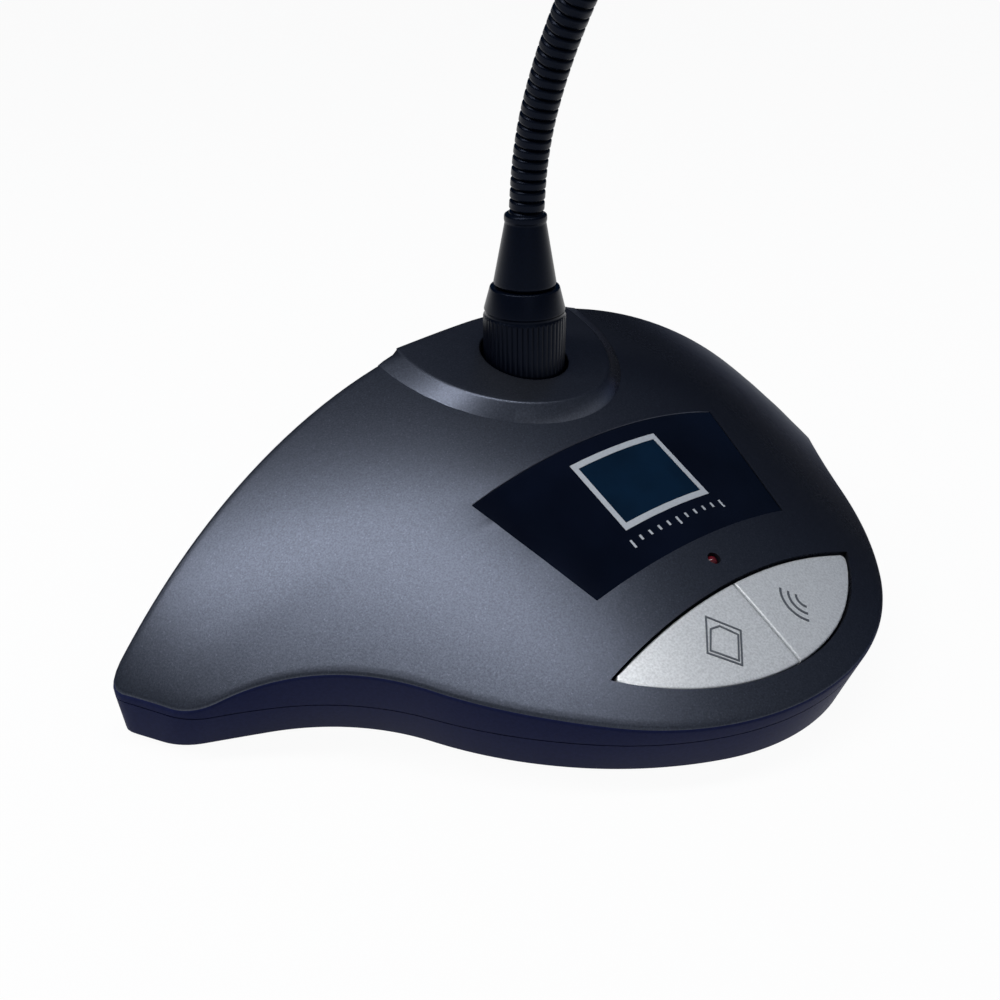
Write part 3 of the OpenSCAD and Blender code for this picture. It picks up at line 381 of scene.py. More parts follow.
def pick_all(obj):
    """Selects the whole mesh in edit mode."""
    pick(obj, lambda vertex: True)


def pick_edges(obj, pairs):
    """Selects, in edit mode, the edges between these pairs of vertices."""
    pick(obj, lambda edge: tuple(sorted(edge.vertices)) in pairs, "EDGE")


def done():
    """Leaves edit mode."""
    bpy.ops.object.mode_set(mode="OBJECT")


def apply_modifier(obj, kind, **settings):
    """Adds a modifier and makes it part of the mesh."""
    only(obj)
    modifier = obj.modifiers.new(kind.title(), kind)
    for key, value in settings.items():
        setattr(modifier, key, value)
    bpy.ops.object.modifier_apply(modifier=modifier.name)


def smooth(obj, angle):
    """Smooth shading across edges flatter than an angle in degrees."""
    only(obj)
    bpy.ops.object.shade_smooth_by_angle(angle=radians(angle))


def sheet_of(name, columns, rows, where):
    """A grid primitive whose cells are laid on a surface: where(u, w) with u and w from 0 to 1."""
    deselect()
    bpy.ops.mesh.primitive_grid_add(x_subdivisions=columns, y_subdivisions=rows, size=1)
    obj = bpy.context.object
    obj.name = obj.data.name = name
    for vertex in obj.data.vertices:
        vertex.co = where(vertex.co.x + 0.5, vertex.co.y + 0.5)
    return obj


def mesh_of(name, points, edges, faces):
    """A new object from points, edges and faces."""
    mesh = bpy.data.meshes.new(name)
    mesh.from_pydata(points, edges, faces)
    obj = bpy.data.objects.new(name, mesh)
    bpy.context.scene.collection.objects.link(obj)
    return obj


def near(point, digits=6):
    """Key of a place, to find a vertex again."""
    return tuple(round(c, digits) for c in point)


def border_edges(mesh):
    """Vertex pairs of the edges that have a face on one side only."""
    used = {}
    for polygon in mesh.polygons:
        for key in polygon.edge_keys:
            used[key] = used.get(key, 0) + 1
    return {key for key, n in used.items() if n == 1}


def close_seams(obj, distance=1e-6):
    """Merges doubles and turns all faces outward."""
    pick_all(obj)
    bpy.ops.mesh.remove_doubles(threshold=distance)
    bpy.ops.mesh.normals_make_consistent(inside=False)
    done()


def turned(name, profile, steps=96, at=None):
    """A profile of radius and height in millimetres, spun about the upright axis and set in place."""
    edges = [(i, i + 1) for i in range(len(profile) - 1)]
    if profile[0][0] > 0:
        edges.append((len(profile) - 1, 0))
    obj = mesh_of(name, [(r * MM, 0, z * MM) for r, z in profile], edges, [])
    pick_all(obj)
    bpy.ops.mesh.spin(steps=steps, angle=2 * pi, center=(0, 0, 0), axis=(0, 0, 1))
    done()
    close_seams(obj)
    obj.data.transform(at or Matrix.Translation(place(0, 0, 0)))
    return obj


def rounded(points, radius, steps=4):
    """A profile with its inner corners replaced by small arcs; radius 0 keeps a corner."""
    out = [points[0][:2]]
    for i in range(1, len(points) - 1):
        p = Vector(points[i][:2])
        r = points[i][2] if len(points[i]) > 2 else radius
        a, b = Vector(points[i - 1][:2]) - p, Vector(points[i + 1][:2]) - p
        r = min(r, a.length * 0.45, b.length * 0.45)
        if r <= 0:
            out.append(tuple(p))
            continue
        start, end = p + a.normalized() * r, p + b.normalized() * r
        out += [tuple(bow(start, p, end, k / steps)) for k in range(steps + 1)]
    out.append(points[-1][:2])
    return out


def stroke(points, width, closed=False):
    """Quads of a line of constant width through points, mitred at its corners."""
    count = len(points)
    edges = []
    for i in range(count):
        here = Vector(points[i])
        before = Vector(points[i - 1]) if closed or i else None
        after = Vector(points[(i + 1) % count]) if closed or i < count - 1 else None
        d0 = (here - before).normalized() if before is not None else None
        d1 = (after - here).normalized() if after is not None else None
        d0, d1 = d0 or d1, d1 or d0
        n = Vector((-(d0 + d1).y, (d0 + d1).x)).normalized()
        reach = width / 2 / max(0.3, n.dot(Vector((-d0.y, d0.x))))
        edges.append((here - n * reach, here + n * reach))
    pairs = zip(edges, edges[1:] + edges[:1] if closed else edges[1:])
    return [(a[0], b[0], b[1], a[1]) for a, b in pairs]


def printed(name, quads, surface, thick, cuts=3):
    """A thin raised print or mark: flat quads cut finer and laid on a surface."""
    corners = [(p.x, p.y, 0) for quad in quads for p in map(Vector, quad)]
    obj = mesh_of(name, corners, [], [tuple(range(4 * i, 4 * i + 4)) for i in range(len(quads))])
    pick_all(obj)
    bpy.ops.mesh.remove_doubles(threshold=1e-4)
    bpy.ops.mesh.subdivide(number_cuts=cuts)
    bpy.ops.mesh.normals_make_consistent(inside=False)
    done()
    for vertex in obj.data.vertices:
        vertex.co = surface(vertex.co.x, vertex.co.y)
    if obj.data.polygons[0].normal.z < 0:
        pick_all(obj)
        bpy.ops.mesh.flip_normals()
        done()
    apply_modifier(obj, "SOLIDIFY", thickness=thick * MM, offset=1.0)
    return obj


def cutter(radius, start, end, count=48):
    """A round cutter between two points, in metres."""
    start, end = Vector(start), Vector(end)
    deselect()
    bpy.ops.mesh.primitive_cylinder_add(vertices=count, radius=radius * MM, depth=(end - start).length)
    obj = bpy.context.object
    turn = (end - start).to_track_quat("Z", "Y").to_matrix().to_4x4()
    obj.data.transform(Matrix.Translation((start + end) / 2) @ turn)
    return obj


def prism(outline, low, high):
    """A cutter between two copies of a closed outline; low and high place its points."""
    count = len(outline)
    points = [low(x, y) for x, y in outline] + [high(x, y) for x, y in outline]
    faces = [tuple(range(count)), tuple(range(2 * count - 1, count - 1, -1))]
    faces += [(i, (i + 1) % count, count + (i + 1) % count, count + i) for i in range(count)]
    obj = mesh_of("cutter", points, [], faces)
    close_seams(obj, 1e-7)
    return obj


def cut(obj, cutters):
    """Subtracts the cutters and removes them."""
    deselect()
    for piece in cutters:
        piece.select_set(True)
    bpy.context.view_layer.objects.active = cutters[0]
    if len(cutters) > 1:
        bpy.ops.object.join()
    tool = bpy.context.object
    apply_modifier(obj, "BOOLEAN", operation="DIFFERENCE", object=tool, solver="EXACT")
    bpy.data.objects.remove(tool, do_unlink=True)


def settle(obj, body, slot, finish, *replaced):
    """Gives a finished piece its finish, lets it ride and hides the CAD nodes it stands for."""
    if not obj.data.materials:
        obj.data.materials.append(material(finish))
    if body:
        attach(obj, body)
    if replaced:
        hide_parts(*replaced)
    return obj


# Finishes


def add_node(tree, kind, links=None, **settings):
    """Adds a node. Settings are its own properties or its inputs; links join its inputs to other outputs."""
    node = tree.nodes.new(kind)
    for key, value in settings.items():
        if hasattr(node, key):
            setattr(node, key, value)
        else:
            node.inputs[key.replace("_", " ")].default_value = value
    for key, socket in (links or {}).items():
        tree.links.new(socket, node.inputs[key])
    return node


def per_mm(size):
    """Texture scale that gives features of this size, in millimetres, on coordinates in metres."""
    return 1 / (size * MM)


def shade(colour, factor):
    """The colour made darker or lighter."""
    return (*[min(1.0, c * factor) for c in colour[:3]], 1.0)


def grained(name, colour, size, contrast=0.2, bump=0.2, depth=0.08, painted_flake_glints=0.0, **sockets):
    """A finish whose grain, of this size in mm, gives close tones and relief; bright cells in its colour are
    painted glints of metal flake.
    """
    finish = bpy.data.materials.new(name)
    finish.use_nodes = True
    tree = finish.node_tree
    shader = tree.nodes["Principled BSDF"]
    for key, value in sockets.items():
        shader.inputs[key.replace("_", " ")].default_value = value
    where = add_node(tree, "ShaderNodeTexCoord").outputs["Object"]
    grain = add_node(tree, "ShaderNodeTexNoise", {"Vector": where}, Scale=per_mm(size), Detail=3.0)
    ramp = add_node(tree, "ShaderNodeValToRGB", {"Fac": grain.outputs["Fac"]})
    low, high = ramp.color_ramp.elements
    low.position, low.color = 0.35, shade(colour, 1 - contrast)
    high.position, high.color = 0.66, shade(colour, 1 + contrast)
    tone = ramp.outputs["Color"]
    # Painted glints: random cells of flake size made brighter in the colour, standing for flake that mirrors the
    # light
    if painted_flake_glints:
        cells = add_node(tree, "ShaderNodeTexVoronoi", {"Vector": where}, Scale=per_mm(size * 0.7))
        painted_glint = add_node(tree, "ShaderNodeMapRange", {"Value": cells.outputs["Color"]},
                         From_Min=0.8, From_Max=0.98, To_Min=0.0, To_Max=painted_flake_glints)
        mix = add_node(tree, "ShaderNodeMix", {"Factor": painted_glint.outputs["Result"], 6: tone}, data_type="RGBA")
        mix.inputs[7].default_value = shade(colour, 2.6)
        tone = mix.outputs[2]
    tree.links.new(tone, shader.inputs["Base Color"])
    height = grain.outputs["Fac"]
    relief = add_node(tree, "ShaderNodeBump", {"Height": height}, Strength=bump, Distance=depth * MM)
    tree.links.new(relief.outputs["Normal"], shader.inputs["Normal"])
    return finish


FINISHES = {
    # Graphite paint full of metal flakes: a broad satin shine that falls off quickly, fine grain and glints
    # painted as bright cells in the colour. The flakes are drawn far coarser than real ones, so that they show
    "case_paint": lambda scene: grained(
        "graphite_flake_paint", scene.mic_case.paint, 0.42, 0.14, 0.35, 0.06, 0.25,
        Metallic=0.88, Roughness=0.35, Specular_Tint=linear("#55627c")),
    # Satin moulded ABS of the walls and the bottom: smoother, dark blue-grey
    "lower_case": lambda scene: grained(
        "satin_abs", scene.mic_case.lower, 0.8, 0.08, 0.15, Roughness=0.5, Specular_IOR_Level=0.03),
    # Silver paint of the keys: coarser flakes, their glints painted as bright cells in the colour; bright where
    # the light mirrors and grey elsewhere; drawn coarse for the same reason
    "key_paint": lambda scene: grained(
        "silver_flake_paint", scene.mic_keys.paint, 0.5, 0.12, 0.35, 0.07, 0.15,
        Metallic=0.35, Roughness=0.38, IOR=1.5),
    # Raised marks of the keys, a darker grey
    "key_mark": lambda scene: grained(
        "mark_paint", scene.mic_keys.mark, 0.5, 0.1, Metallic=0.4, Roughness=0.45),
    # Polished acrylic, almost black, mirror-smooth, with the faintest haze of handling
    "window": lambda scene: grained(
        "black_acrylic", scene.mic_case.window, 25, 0.3, 0.0,
        Roughness=0.12, Specular_IOR_Level=0.12, Specular_Tint=linear("#8fa6d6")),
    # Display glass behind the window, blue-green where the light gets in
    "display": lambda scene: grained(
        "display_glass", linear("#061c30"), 14, 0.2, 0.0, Roughness=0.1, Specular_IOR_Level=0.12),
    # Silver screen print, flat and even
    "print": lambda scene: grained(
        "silver_print", scene.mic_case.print, 0.5, 0.05, 0.1, 0.02, Metallic=0.1, Roughness=0.5),
    # Dark red acrylic of the lights' lenses, smooth and glossy
    "red_lens": lambda scene: grained(
        "red_acrylic", scene.mic_head.lens, 2.0, 0.2, 0.0, Roughness=0.14, IOR=1.49),
    # Satin black coating on metal, slightly blue, soft highlights
    "neck_black": lambda scene: grained(
        "satin_black_coat", scene.mic_neck.coat, 0.5, 0.25, 0.2, 0.04,
        Roughness=0.33, Specular_IOR_Level=0.2, Specular_Tint=linear("#a9b8dc")),
    # Black moulded ABS of the head, finely grained and half dull
    "head_black": lambda scene: grained(
        "black_abs", scene.mic_head.plastic, 0.6, 0.2, 0.25, Roughness=0.45, IOR=1.5),
    # Open-cell foam: pores that swallow light, their shade painted as dark tones in the colour between paler cell
    # walls
    "foam": lambda scene: grained(
        "open_cell_foam", scene.mic_head.foam, scene.mic_head.pore / MM, 0.85, 0.9, 0.6, Roughness=1.0),
    # Soft rubber, dull and dusty
    "rubber": lambda scene: grained("foot_rubber", linear("#171717"), 0.6, 0.25, 0.4, Roughness=0.85),
    # Zinc plate of the screws, bright with soft highlights
    "screw_steel": lambda scene: grained(
        "zinc_plate", linear("#9c9fa1"), 0.4, 0.12, 0.15, Metallic=1.0, Roughness=0.35),
    # Rolled plate of the ballast, cloudy grey
    "ballast_steel": lambda scene: grained(
        "rolled_steel", linear("#7b7d7f"), 3.0, 0.2, Metallic=1.0, Roughness=0.45),
    # Green solder resist over glass fibre, glossy
    "board": lambda scene: grained(
        "solder_resist", linear("#134a32"), 1.2, 0.2, 0.15, Roughness=0.35, IOR=1.5),
    # Moulded epoxy of the components, dull black
    "component": lambda scene: grained("component_epoxy", linear("#161719"), 0.5, 0.2, 0.25, Roughness=0.6),
    # Black plating of the sockets, a dark sheen
    "socket_metal": lambda scene: grained(
        "black_plating", linear("#17181d"), 0.5, 0.2, 0.15, Metallic=0.6, Roughness=0.38),
    # Glass-filled nylon of the insulators, faintly rough
    "insulator": lambda scene: grained("filled_nylon", linear("#1c1d21"), 0.4, 0.2, 0.25, Roughness=0.55),
    # Nickel plate of the contacts, warm and bright
    "contact": lambda scene: grained(
        "nickel_plate", linear("#bebbb3"), 0.5, 0.1, 0.1, Metallic=1.0, Roughness=0.25),
    # Vinyl of the leads, soft and even
    "lead": lambda scene: grained("vinyl_lead", linear("#151517"), 0.6, 0.2, Roughness=0.55),
}
MADE = {}


def material(finish):
    """The material of a finish, made once."""
    if finish not in MADE:
        MADE[finish] = FINISHES[finish](bpy.context.scene)
    return MADE[finish]


# Pieces


class MIC_OT_case_top(bpy.types.Operator):
    """Upper shell: the swept top face, leaning walls and all openings"""

    bl_idname = "mic.case_top"
    bl_label = "Upper shell"

    def execute(self, context):
        settings = context.scene.mic_case
        lower, count, across = PARTING_Z + SEAM_HALF, 150, 72
        rim = rim_ring(count, across)
        foot = wall_ring(lower, count, across)
        steps = (0.0, 0.1, 0.2, 0.3, 0.4, 0.5, 0.6, 0.7, 0.79, 0.87, 0.93, 0.965, 1.0)

        def where(u, w):
            x1, y1 = rim[round(u * len(rim)) % len(rim)]
            s = steps[round(w * (len(steps) - 1))]
            x, y = x1 * s, DISPLAY[0] + (y1 - DISPLAY[0]) * s
            return place(x, y, face_z(x, y))

        obj = sheet_of("case_top", len(rim), len(steps) - 1, where)
        close_seams(obj, 1e-6)
        mesh = obj.data
        for finish in ("case_paint", "lower_case"):
            mesh.materials.append(material(finish))
        below = {near(place(*p, face_z(*p))): place(*q, lower) for p, q in zip(rim, foot)}
        border = border_edges(mesh)
        count = len(mesh.vertices)
        pick_edges(obj, border)
        bpy.ops.mesh.extrude_edges_move()
        done()
        for vertex in list(mesh.vertices)[count:]:
            vertex.co = below[near(vertex.co)]
        for polygon in mesh.polygons:
            polygon.material_index = 1 if max(polygon.vertices) >= count else 0
        pick_edges(obj, border)
        bpy.ops.mesh.bevel(offset=settings.rim_round, segments=4, affect="EDGES")
        done()
        apply_modifier(obj, "SOLIDIFY", thickness=settings.thickness, offset=-1.0)
        cut(obj, self.openings())
        smooth(obj, 30)
        settle(obj, "base", "case_paint", "case_paint", "upper_shell")
        return {"FINISHED"}

    def openings(self):
        """Cutters that go right through the shell."""
        through = 6
        back, front = WINDOW["back"] + WINDOW_GAP, WINDOW["front"] - WINDOW_GAP
        back_w, front_w = WINDOW["back_w"] + WINDOW_GAP, WINDOW["front_w"] + WINDOW_GAP
        window = [(back_w, back), (-back_w, back), (-front_w, front), (front_w, front)]
        window = [(x, y + DISPLAY[0]) for x, y in window]
        tools = [prism(window, lambda x, y: place(x, y, 25), lambda x, y: place(x, y, 65))]
        xs = [KEY_TIP_X * (1 - 2 * i / 80) for i in range(81)]
        keys = [(x, key_edges(x)[1]) for x in xs] + [(x, key_edges(x)[0]) for x in reversed(xs[1:-1])]
        tools.append(prism(
            keys, lambda x, v: key_surface(x, v, -through), lambda x, v: key_surface(x, v, through)))
        led = KEY_MID - LED_DOWN
        tools.append(cutter(LED_HOLE_R, key_surface(0, led, -through), key_surface(0, led, through)))
        tools.append(cutter(RING_HOLE_R, place(0, 0, 50), place(0, 0, 80), 96))
        for side in (-1, 1):
            x = side * LINK_X
            tools.append(cutter(LINK_HOLE_R, place(x, 8, LINK_Z), place(x, 25, LINK_Z)))
        return tools


class MIC_OT_neck_pad(bpy.types.Operator):
    """Raised pad round the neck with its rounded, sloping riser"""

    bl_idname = "mic.neck_pad"
    bl_label = "Neck pad"

    def execute(self, context):
        def reach(turn, ellipse):
            """Distance from the neck axis to an ellipse, or to the rear wall where that comes first."""
            back, wide, deep = ellipse
            c, s = cos(turn), sin(turn)
            square, linear_part = (c / wide) ** 2 + (s / deep) ** 2, s * back / deep ** 2
            r = (linear_part + sqrt(linear_part ** 2 - square * ((back / deep) ** 2 - 1))) / square
            if s > 0:
                for _ in range(20):
                    r = min(r, (rear_y(r * c) - 0.02) / s)
            return r

        def profile(turn):
            """From the hole over the pad and down its riser, or down the rear wall where that comes first."""
            c, s = cos(turn), sin(turn)
            top, low = reach(turn, PAD_TOP), reach(turn, PAD_FOOT)
            high = pad_z(top * c, top * s)
            foot = min(face_z(low * c, low * s), high - RISER_LEAST)
            wall = high - PAD_WALL
            points = [(RING_HOLE_R, wall, 0), (RING_HOLE_R, pad_z(RING_HOLE_R * c, RING_HOLE_R * s))]
            for k in (0.2, 0.4, 0.6, 0.8):
                r = RING_HOLE_R + (top - RING_HOLE_R) * k
                points.append((r, pad_z(r * c, r * s), 0))
            points += [(top, high), (low, foot - 0.05, 0), (low - 0.2, foot - 2.0, 0), (RING_HOLE_R, wall)]
            return rounded(points, PAD_ROUND, 5)

        columns = 180
        rows = len(profile(0.3)) - 1
        cache = {}

        def where(u, w):
            k = round(u * columns) % columns
            if k not in cache:
                cache[k] = profile(2 * pi * k / columns)
            r, z = cache[k][min(rows, round(w * rows))]
            turn = 2 * pi * k / columns
            return place(r * cos(turn), r * sin(turn), z)

        obj = sheet_of("neck_pad", columns, rows, where)
        close_seams(obj)
        smooth(obj, 40)
        settle(obj, "base", "case_paint", "case_paint")
        return {"FINISHED"}


class MIC_OT_case_base(bpy.types.Operator):
    """Bottom shell: a leaning band under the parting line, with recesses for feet and screws"""

    bl_idname = "mic.case_base"
    bl_label = "Bottom shell"

    def execute(self, context):
        upper, count, across = PARTING_Z - SEAM_HALF, 130, 60
        ring = wall_ring(upper, count, across)
        under = wall_ring(BASE_Z, count, across)
        deselect()
        bpy.ops.mesh.primitive_circle_add(vertices=len(ring), fill_type="NOTHING")
        obj = bpy.context.object
        obj.name = obj.data.name = "case_base"
        mesh = obj.data
        for i, (x, y) in enumerate(ring):
            mesh.vertices[i].co = place(x, y, upper)
        below = {near(place(*p, upper), 7): place(*q, BASE_Z) for p, q in zip(ring, under)}
        pick_all(obj)
        bpy.ops.mesh.extrude_edges_move()
        done()
        for vertex in list(mesh.vertices)[len(ring):]:
            vertex.co = below[near(vertex.co, 7)]
        for level in (upper, BASE_Z):
            pick(obj, lambda v: abs(v.co.z - level * MM) < 1e-6)
            bpy.ops.mesh.edge_face_add()
            done()
        pick_all(obj)
        bpy.ops.mesh.normals_make_consistent(inside=False)
        done()
        pick(obj, lambda e: all(abs(mesh.vertices[i].co.z - BASE_Z * MM) < 1e-6 for i in e.vertices), "EDGE")
        bpy.ops.mesh.bevel(offset=BASE_ROUND * MM, segments=3, affect="EDGES")
        done()
        tools = []
        for side in (-1, 1):
            for places, (radius, depth) in ((FEET, FOOT_RECESS), (CASE_SCREWS, SCREW_RECESS)):
                for x, y in places:
                    tools.append(cutter(radius, place(side * x, y, -3), place(side * x, y, BASE_Z + depth)))
        cut(obj, tools)
        smooth(obj, 30)
        settle(obj, "base", "lower_case", "lower_case", "bottom_shell")
        return {"FINISHED"}


class MIC_OT_window(bpy.types.Operator):
    """Print on the display window: the silver frame, the display area in it and a row of tick marks"""

    bl_idname = "mic.window"
    bl_label = "Window print"

    def execute(self, context):
        mid = DISPLAY[0] + FRAME_UP

        def box(half_w, half_d):
            """Corners of a box about the middle of the frame."""
            low, high = mid - half_d, mid + half_d
            return [(-half_w, low), (half_w, low), (half_w, high), (-half_w, high)]

        def print_face(x, y):
            return window_surface(x, y, PRINT_LIFT)

        quads = stroke(box(FRAME_HALF_W, FRAME_HALF_D), FRAME_LINE, True)
        obj = printed("display_frame", quads, print_face, PRINT_T, 5)
        settle(obj, "base", "key_paint", "print")
        rim = FRAME_LINE / 2
        area = [box(FRAME_HALF_W - rim - 0.1, FRAME_HALF_D - rim - 0.1)]
        obj = printed("display_area", area, lambda x, y: window_surface(x, y, 0.01), 0.03, 9)
        settle(obj, "base", "display", "display")
        ticks = []
        half, top = TICKS["half"], mid - FRAME_HALF_D - TICKS["down"]
        for i in range(TICKS["count"]):
            x = TICKS["first"] + TICKS["step"] * i
            low = top - (TICKS["tall"] if i % 5 == 0 else TICKS["short"])
            ticks.append([(x - half, low), (x + half, low), (x + half, top), (x - half, top)])
        obj = printed("scale_ticks", ticks, print_face, PRINT_T, 1)
        settle(obj, "base", "key_paint", "print")
        return {"FINISHED"}


class MIC_OT_keys(bpy.types.Operator):
    """The two leaf-shaped halves of the key pair, with their raised marks"""

    bl_idname = "mic.keys"
    bl_label = "Keys"

    def execute(self, context):
        for side, name in ((-1, "priority_key"), (1, "talk_key")):
            obj = self.key(side, name + "_cap")
            settle(obj, name, "key_paint", "key_paint", name)
        for mark, points in (("rhomb_mark", RHOMB), ("rhomb_mark_inner", RHOMB_INSET)):
            obj = printed(mark, stroke(points, RHOMB_LINE, True), key_surface, MARK_T, 3)
            settle(obj, "priority_key", "key_paint", "key_mark")
        arcs = []
        cx, cv = SOUND_MID
        for r in SOUND_RADII:
            arc = [(cx - r * cos(radians(a)), cv + r * sin(radians(a))) for a in range(-50, 51, 10)]
            arcs += stroke(arc, SOUND_LINE)
        obj = printed("sound_mark", arcs, key_surface, MARK_T, 1)
        settle(obj, "talk_key", "key_paint", "key_mark")
        return {"FINISHED"}

    def key(self, side, name):
        """One key: its face on the slope, sides drawn down, a rounded edge and a closed bottom."""
        start, tip = KEY_GAP / 2, KEY_TIP_X - KEY_TIP_CUT

        def where(u, w):
            x = start + (tip - start) * u
            front, back = key_edges(x)
            front, back = front + KEY_GAP, back - KEY_GAP
            v = front + (back - front) * w
            if u > 1 - 1e-6:
                x += KEY_TIP_BOW * sin(pi * w)
            return key_surface(side * x, v)

        obj = sheet_of(name, 48, 24, where)
        if side < 0:
            pick_all(obj)
            bpy.ops.mesh.flip_normals()
            done()
        mesh = obj.data
        border = border_edges(mesh)
        pick_edges(obj, border)
        down = Vector((0, sin(KEY_SLOPE), -cos(KEY_SLOPE))) * KEY_DEPTH * MM
        bpy.ops.mesh.extrude_edges_move(TRANSFORM_OT_translate={"value": down})
        done()
        pick_edges(obj, border)
        bpy.ops.mesh.bevel(offset=bpy.context.scene.mic_keys.edge, segments=3, affect="EDGES")
        done()
        pick_edges(obj, border_edges(mesh))
        bpy.ops.mesh.edge_face_add()
        done()
        smooth(obj, 40)
        return obj


class MIC_OT_neck_fittings(bpy.types.Operator):
    """Ribbed locking ring and the tapered sleeve over the foot of the gooseneck"""

    bl_idname = "mic.neck_fittings"
    bl_label = "Neck fittings"

    def execute(self, context):
        ring = turned("lock_ring", rounded(RING_PROFILE, 0.25, 3), RING_RIBS * 8)
        centre = place(0, 0, 0)
        for vertex in ring.data.vertices:
            x, y = vertex.co.x - centre.x, vertex.co.y - centre.y
            r, z = sqrt(x * x + y * y) / MM, vertex.co.z / MM
            if r > RIB_INNER and RIB_LOW < z < RIB_HIGH:
                phase = atan2(y, x) / (2 * pi) * RING_RIBS
                fade = min(1.0, (z - RIB_LOW) / RIB_RUNOUT, (RIB_HIGH - z) / RIB_RUNOUT)
                dip = RIB_DEPTH * max(0.0, cos(2 * pi * phase)) ** 1.5 * fade
                scale = (r - dip) / r
                vertex.co.x, vertex.co.y = centre.x + x * scale, centre.y + y * scale
        smooth(ring, 50)
        settle(ring, "locking_ring", "neck_black", "neck_black", "locking_ring")
        sleeve = turned("taper_sleeve", rounded(SLEEVE_PROFILE, 0.35, 4))
        smooth(sleeve, 40)
        settle(sleeve, "neck_plug", "neck_black", "neck_black", "neck_sleeve")
        return {"FINISHED"}


class MIC_OT_gooseneck(bpy.types.Operator):
    """Ribbed gooseneck in stretches that bend across the joints of the chain"""

    bl_idname = "mic.gooseneck"
    bl_label = "Gooseneck"

    def execute(self, context):
        settings = context.scene.mic_neck
        pairs = range(1, NECK_LINKS // 2 + 1)
        turns = ["neck_%s_%d" % (kind, i) for i in pairs for kind in ("pitch", "sway")]
        pivots = [Vector(JOINTS[name]["pos_m"]) for name in turns]
        last = pivots[-1] + (pivots[-1] - pivots[-2]).normalized() * LINK_L * MM
        pivots.append(last)
        middles = [(a + b) / 2 for a, b in zip(pivots, pivots[1:])]
        ahead = (middles[0] - pivots[0]).normalized()
        foot = [pivots[0] + ahead * NECK_START * MM, middles[0]]
        obj = self.stretch("gooseneck_01", foot, settings, 0, 0)
        settle(obj, None, "neck_black", "neck_black", "neck_link_01")
        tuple(middles[0])
        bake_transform(obj)

        def arc(i, begin, end):
            """Course of the neck round one joint, between two shares of its bend."""
            shares = [begin + (end - begin) * k / 100 for k in range(101)]
            return [bow(middles[i - 1], pivots[i], middles[i], t) for t in shares]

        # Each further stretch bends sideways at its middle and meets its neighbours in ball ends at the
        # joints that bend forward
        for i in range(1, NECK_LINKS, 2):
            path = arc(i, 0, 1)
            starts, ends = i == 1, i == NECK_LINKS - 1
            if not starts:
                path = arc(i - 1, 0.5, 1)[:-1] + path
            if ends:
                path.append(last + (last - middles[i]).normalized() * NECK_TAIL * MM)
            else:
                path += arc(i + 1, 0, 0.5)[1:]
            plays = (0 if starts else START_PLAY * MM, 0 if ends else END_PLAY * MM)
            obj = self.stretch("gooseneck_%02d" % ((i + 3) // 2), path, settings, *plays)
            links = ["neck_link_%02d" % k for k in (i, i + 1)]
            settle(obj, None, "neck_black", "neck_black", *links[starts:])
            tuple(middles[i - 1])
            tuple(middles[i])
            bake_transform(obj)
        return {"FINISHED"}

    def stretch(self, name, path, settings, start_play, end_play):
        """One tube along a path with whole ribs; an end with play gets a ball, smaller by that play."""
        lengths = [0.0]
        for a, b in zip(path, path[1:]):
            lengths.append(lengths[-1] + (b - a).length)
        ribs = round(lengths[-1] / settings.pitch)
        rows = RIB_ROWS * ribs + CAP_ROWS * (bool(start_play) + bool(end_play))
        where = self.skin(path, lengths, ribs, rows, settings, start_play, end_play)
        obj = sheet_of(name, NECK_COLUMNS, rows, where)
        close_seams(obj, 2e-6)
        smooth(obj, 60)
        return obj

    def skin(self, path, lengths, ribs, rows, settings, start_play, end_play):
        """Places a point round and along the tube; grooves sit between rounded ribs."""
        whole = lengths[-1]
        outer, core = settings.diameter / 2, settings.diameter / 2 - settings.groove

        def where(u, w):
            row = round(w * rows) - (CAP_ROWS if start_play else 0)
            along = min(max(row / RIB_ROWS, 0), ribs)
            past = (row / RIB_ROWS - along) * RIB_ROWS / CAP_ROWS * BALL_END * MM
            goal = along / ribs * whole
            beyond = (j for j, gone in enumerate(lengths) if gone >= goal - 1e-12)
            k = max(1, next(beyond, len(lengths) - 1))
            t = (goal - lengths[k - 1]) / (lengths[k] - lengths[k - 1])
            ahead = (path[min(k + 1, len(path) - 1)] - path[max(k - 2, 0)]).normalized()
            middle = path[k - 1].lerp(path[k], t) + ahead * past
            side = Vector((1, 0, 0))
            rise = ahead.cross(side)
            play = start_play if along == 0 else end_play if along == ribs else 0
            if play:
                r = sqrt((core - play) ** 2 - past * past)
            else:
                far = abs(2 * (along % 1.0) - 1)
                r = outer - settings.groove * max(0.0, (far - 0.55) / 0.45) ** 1.6
            turn = 2 * pi * u
            return middle + (side * cos(turn) + rise * sin(turn)) * r
        return where


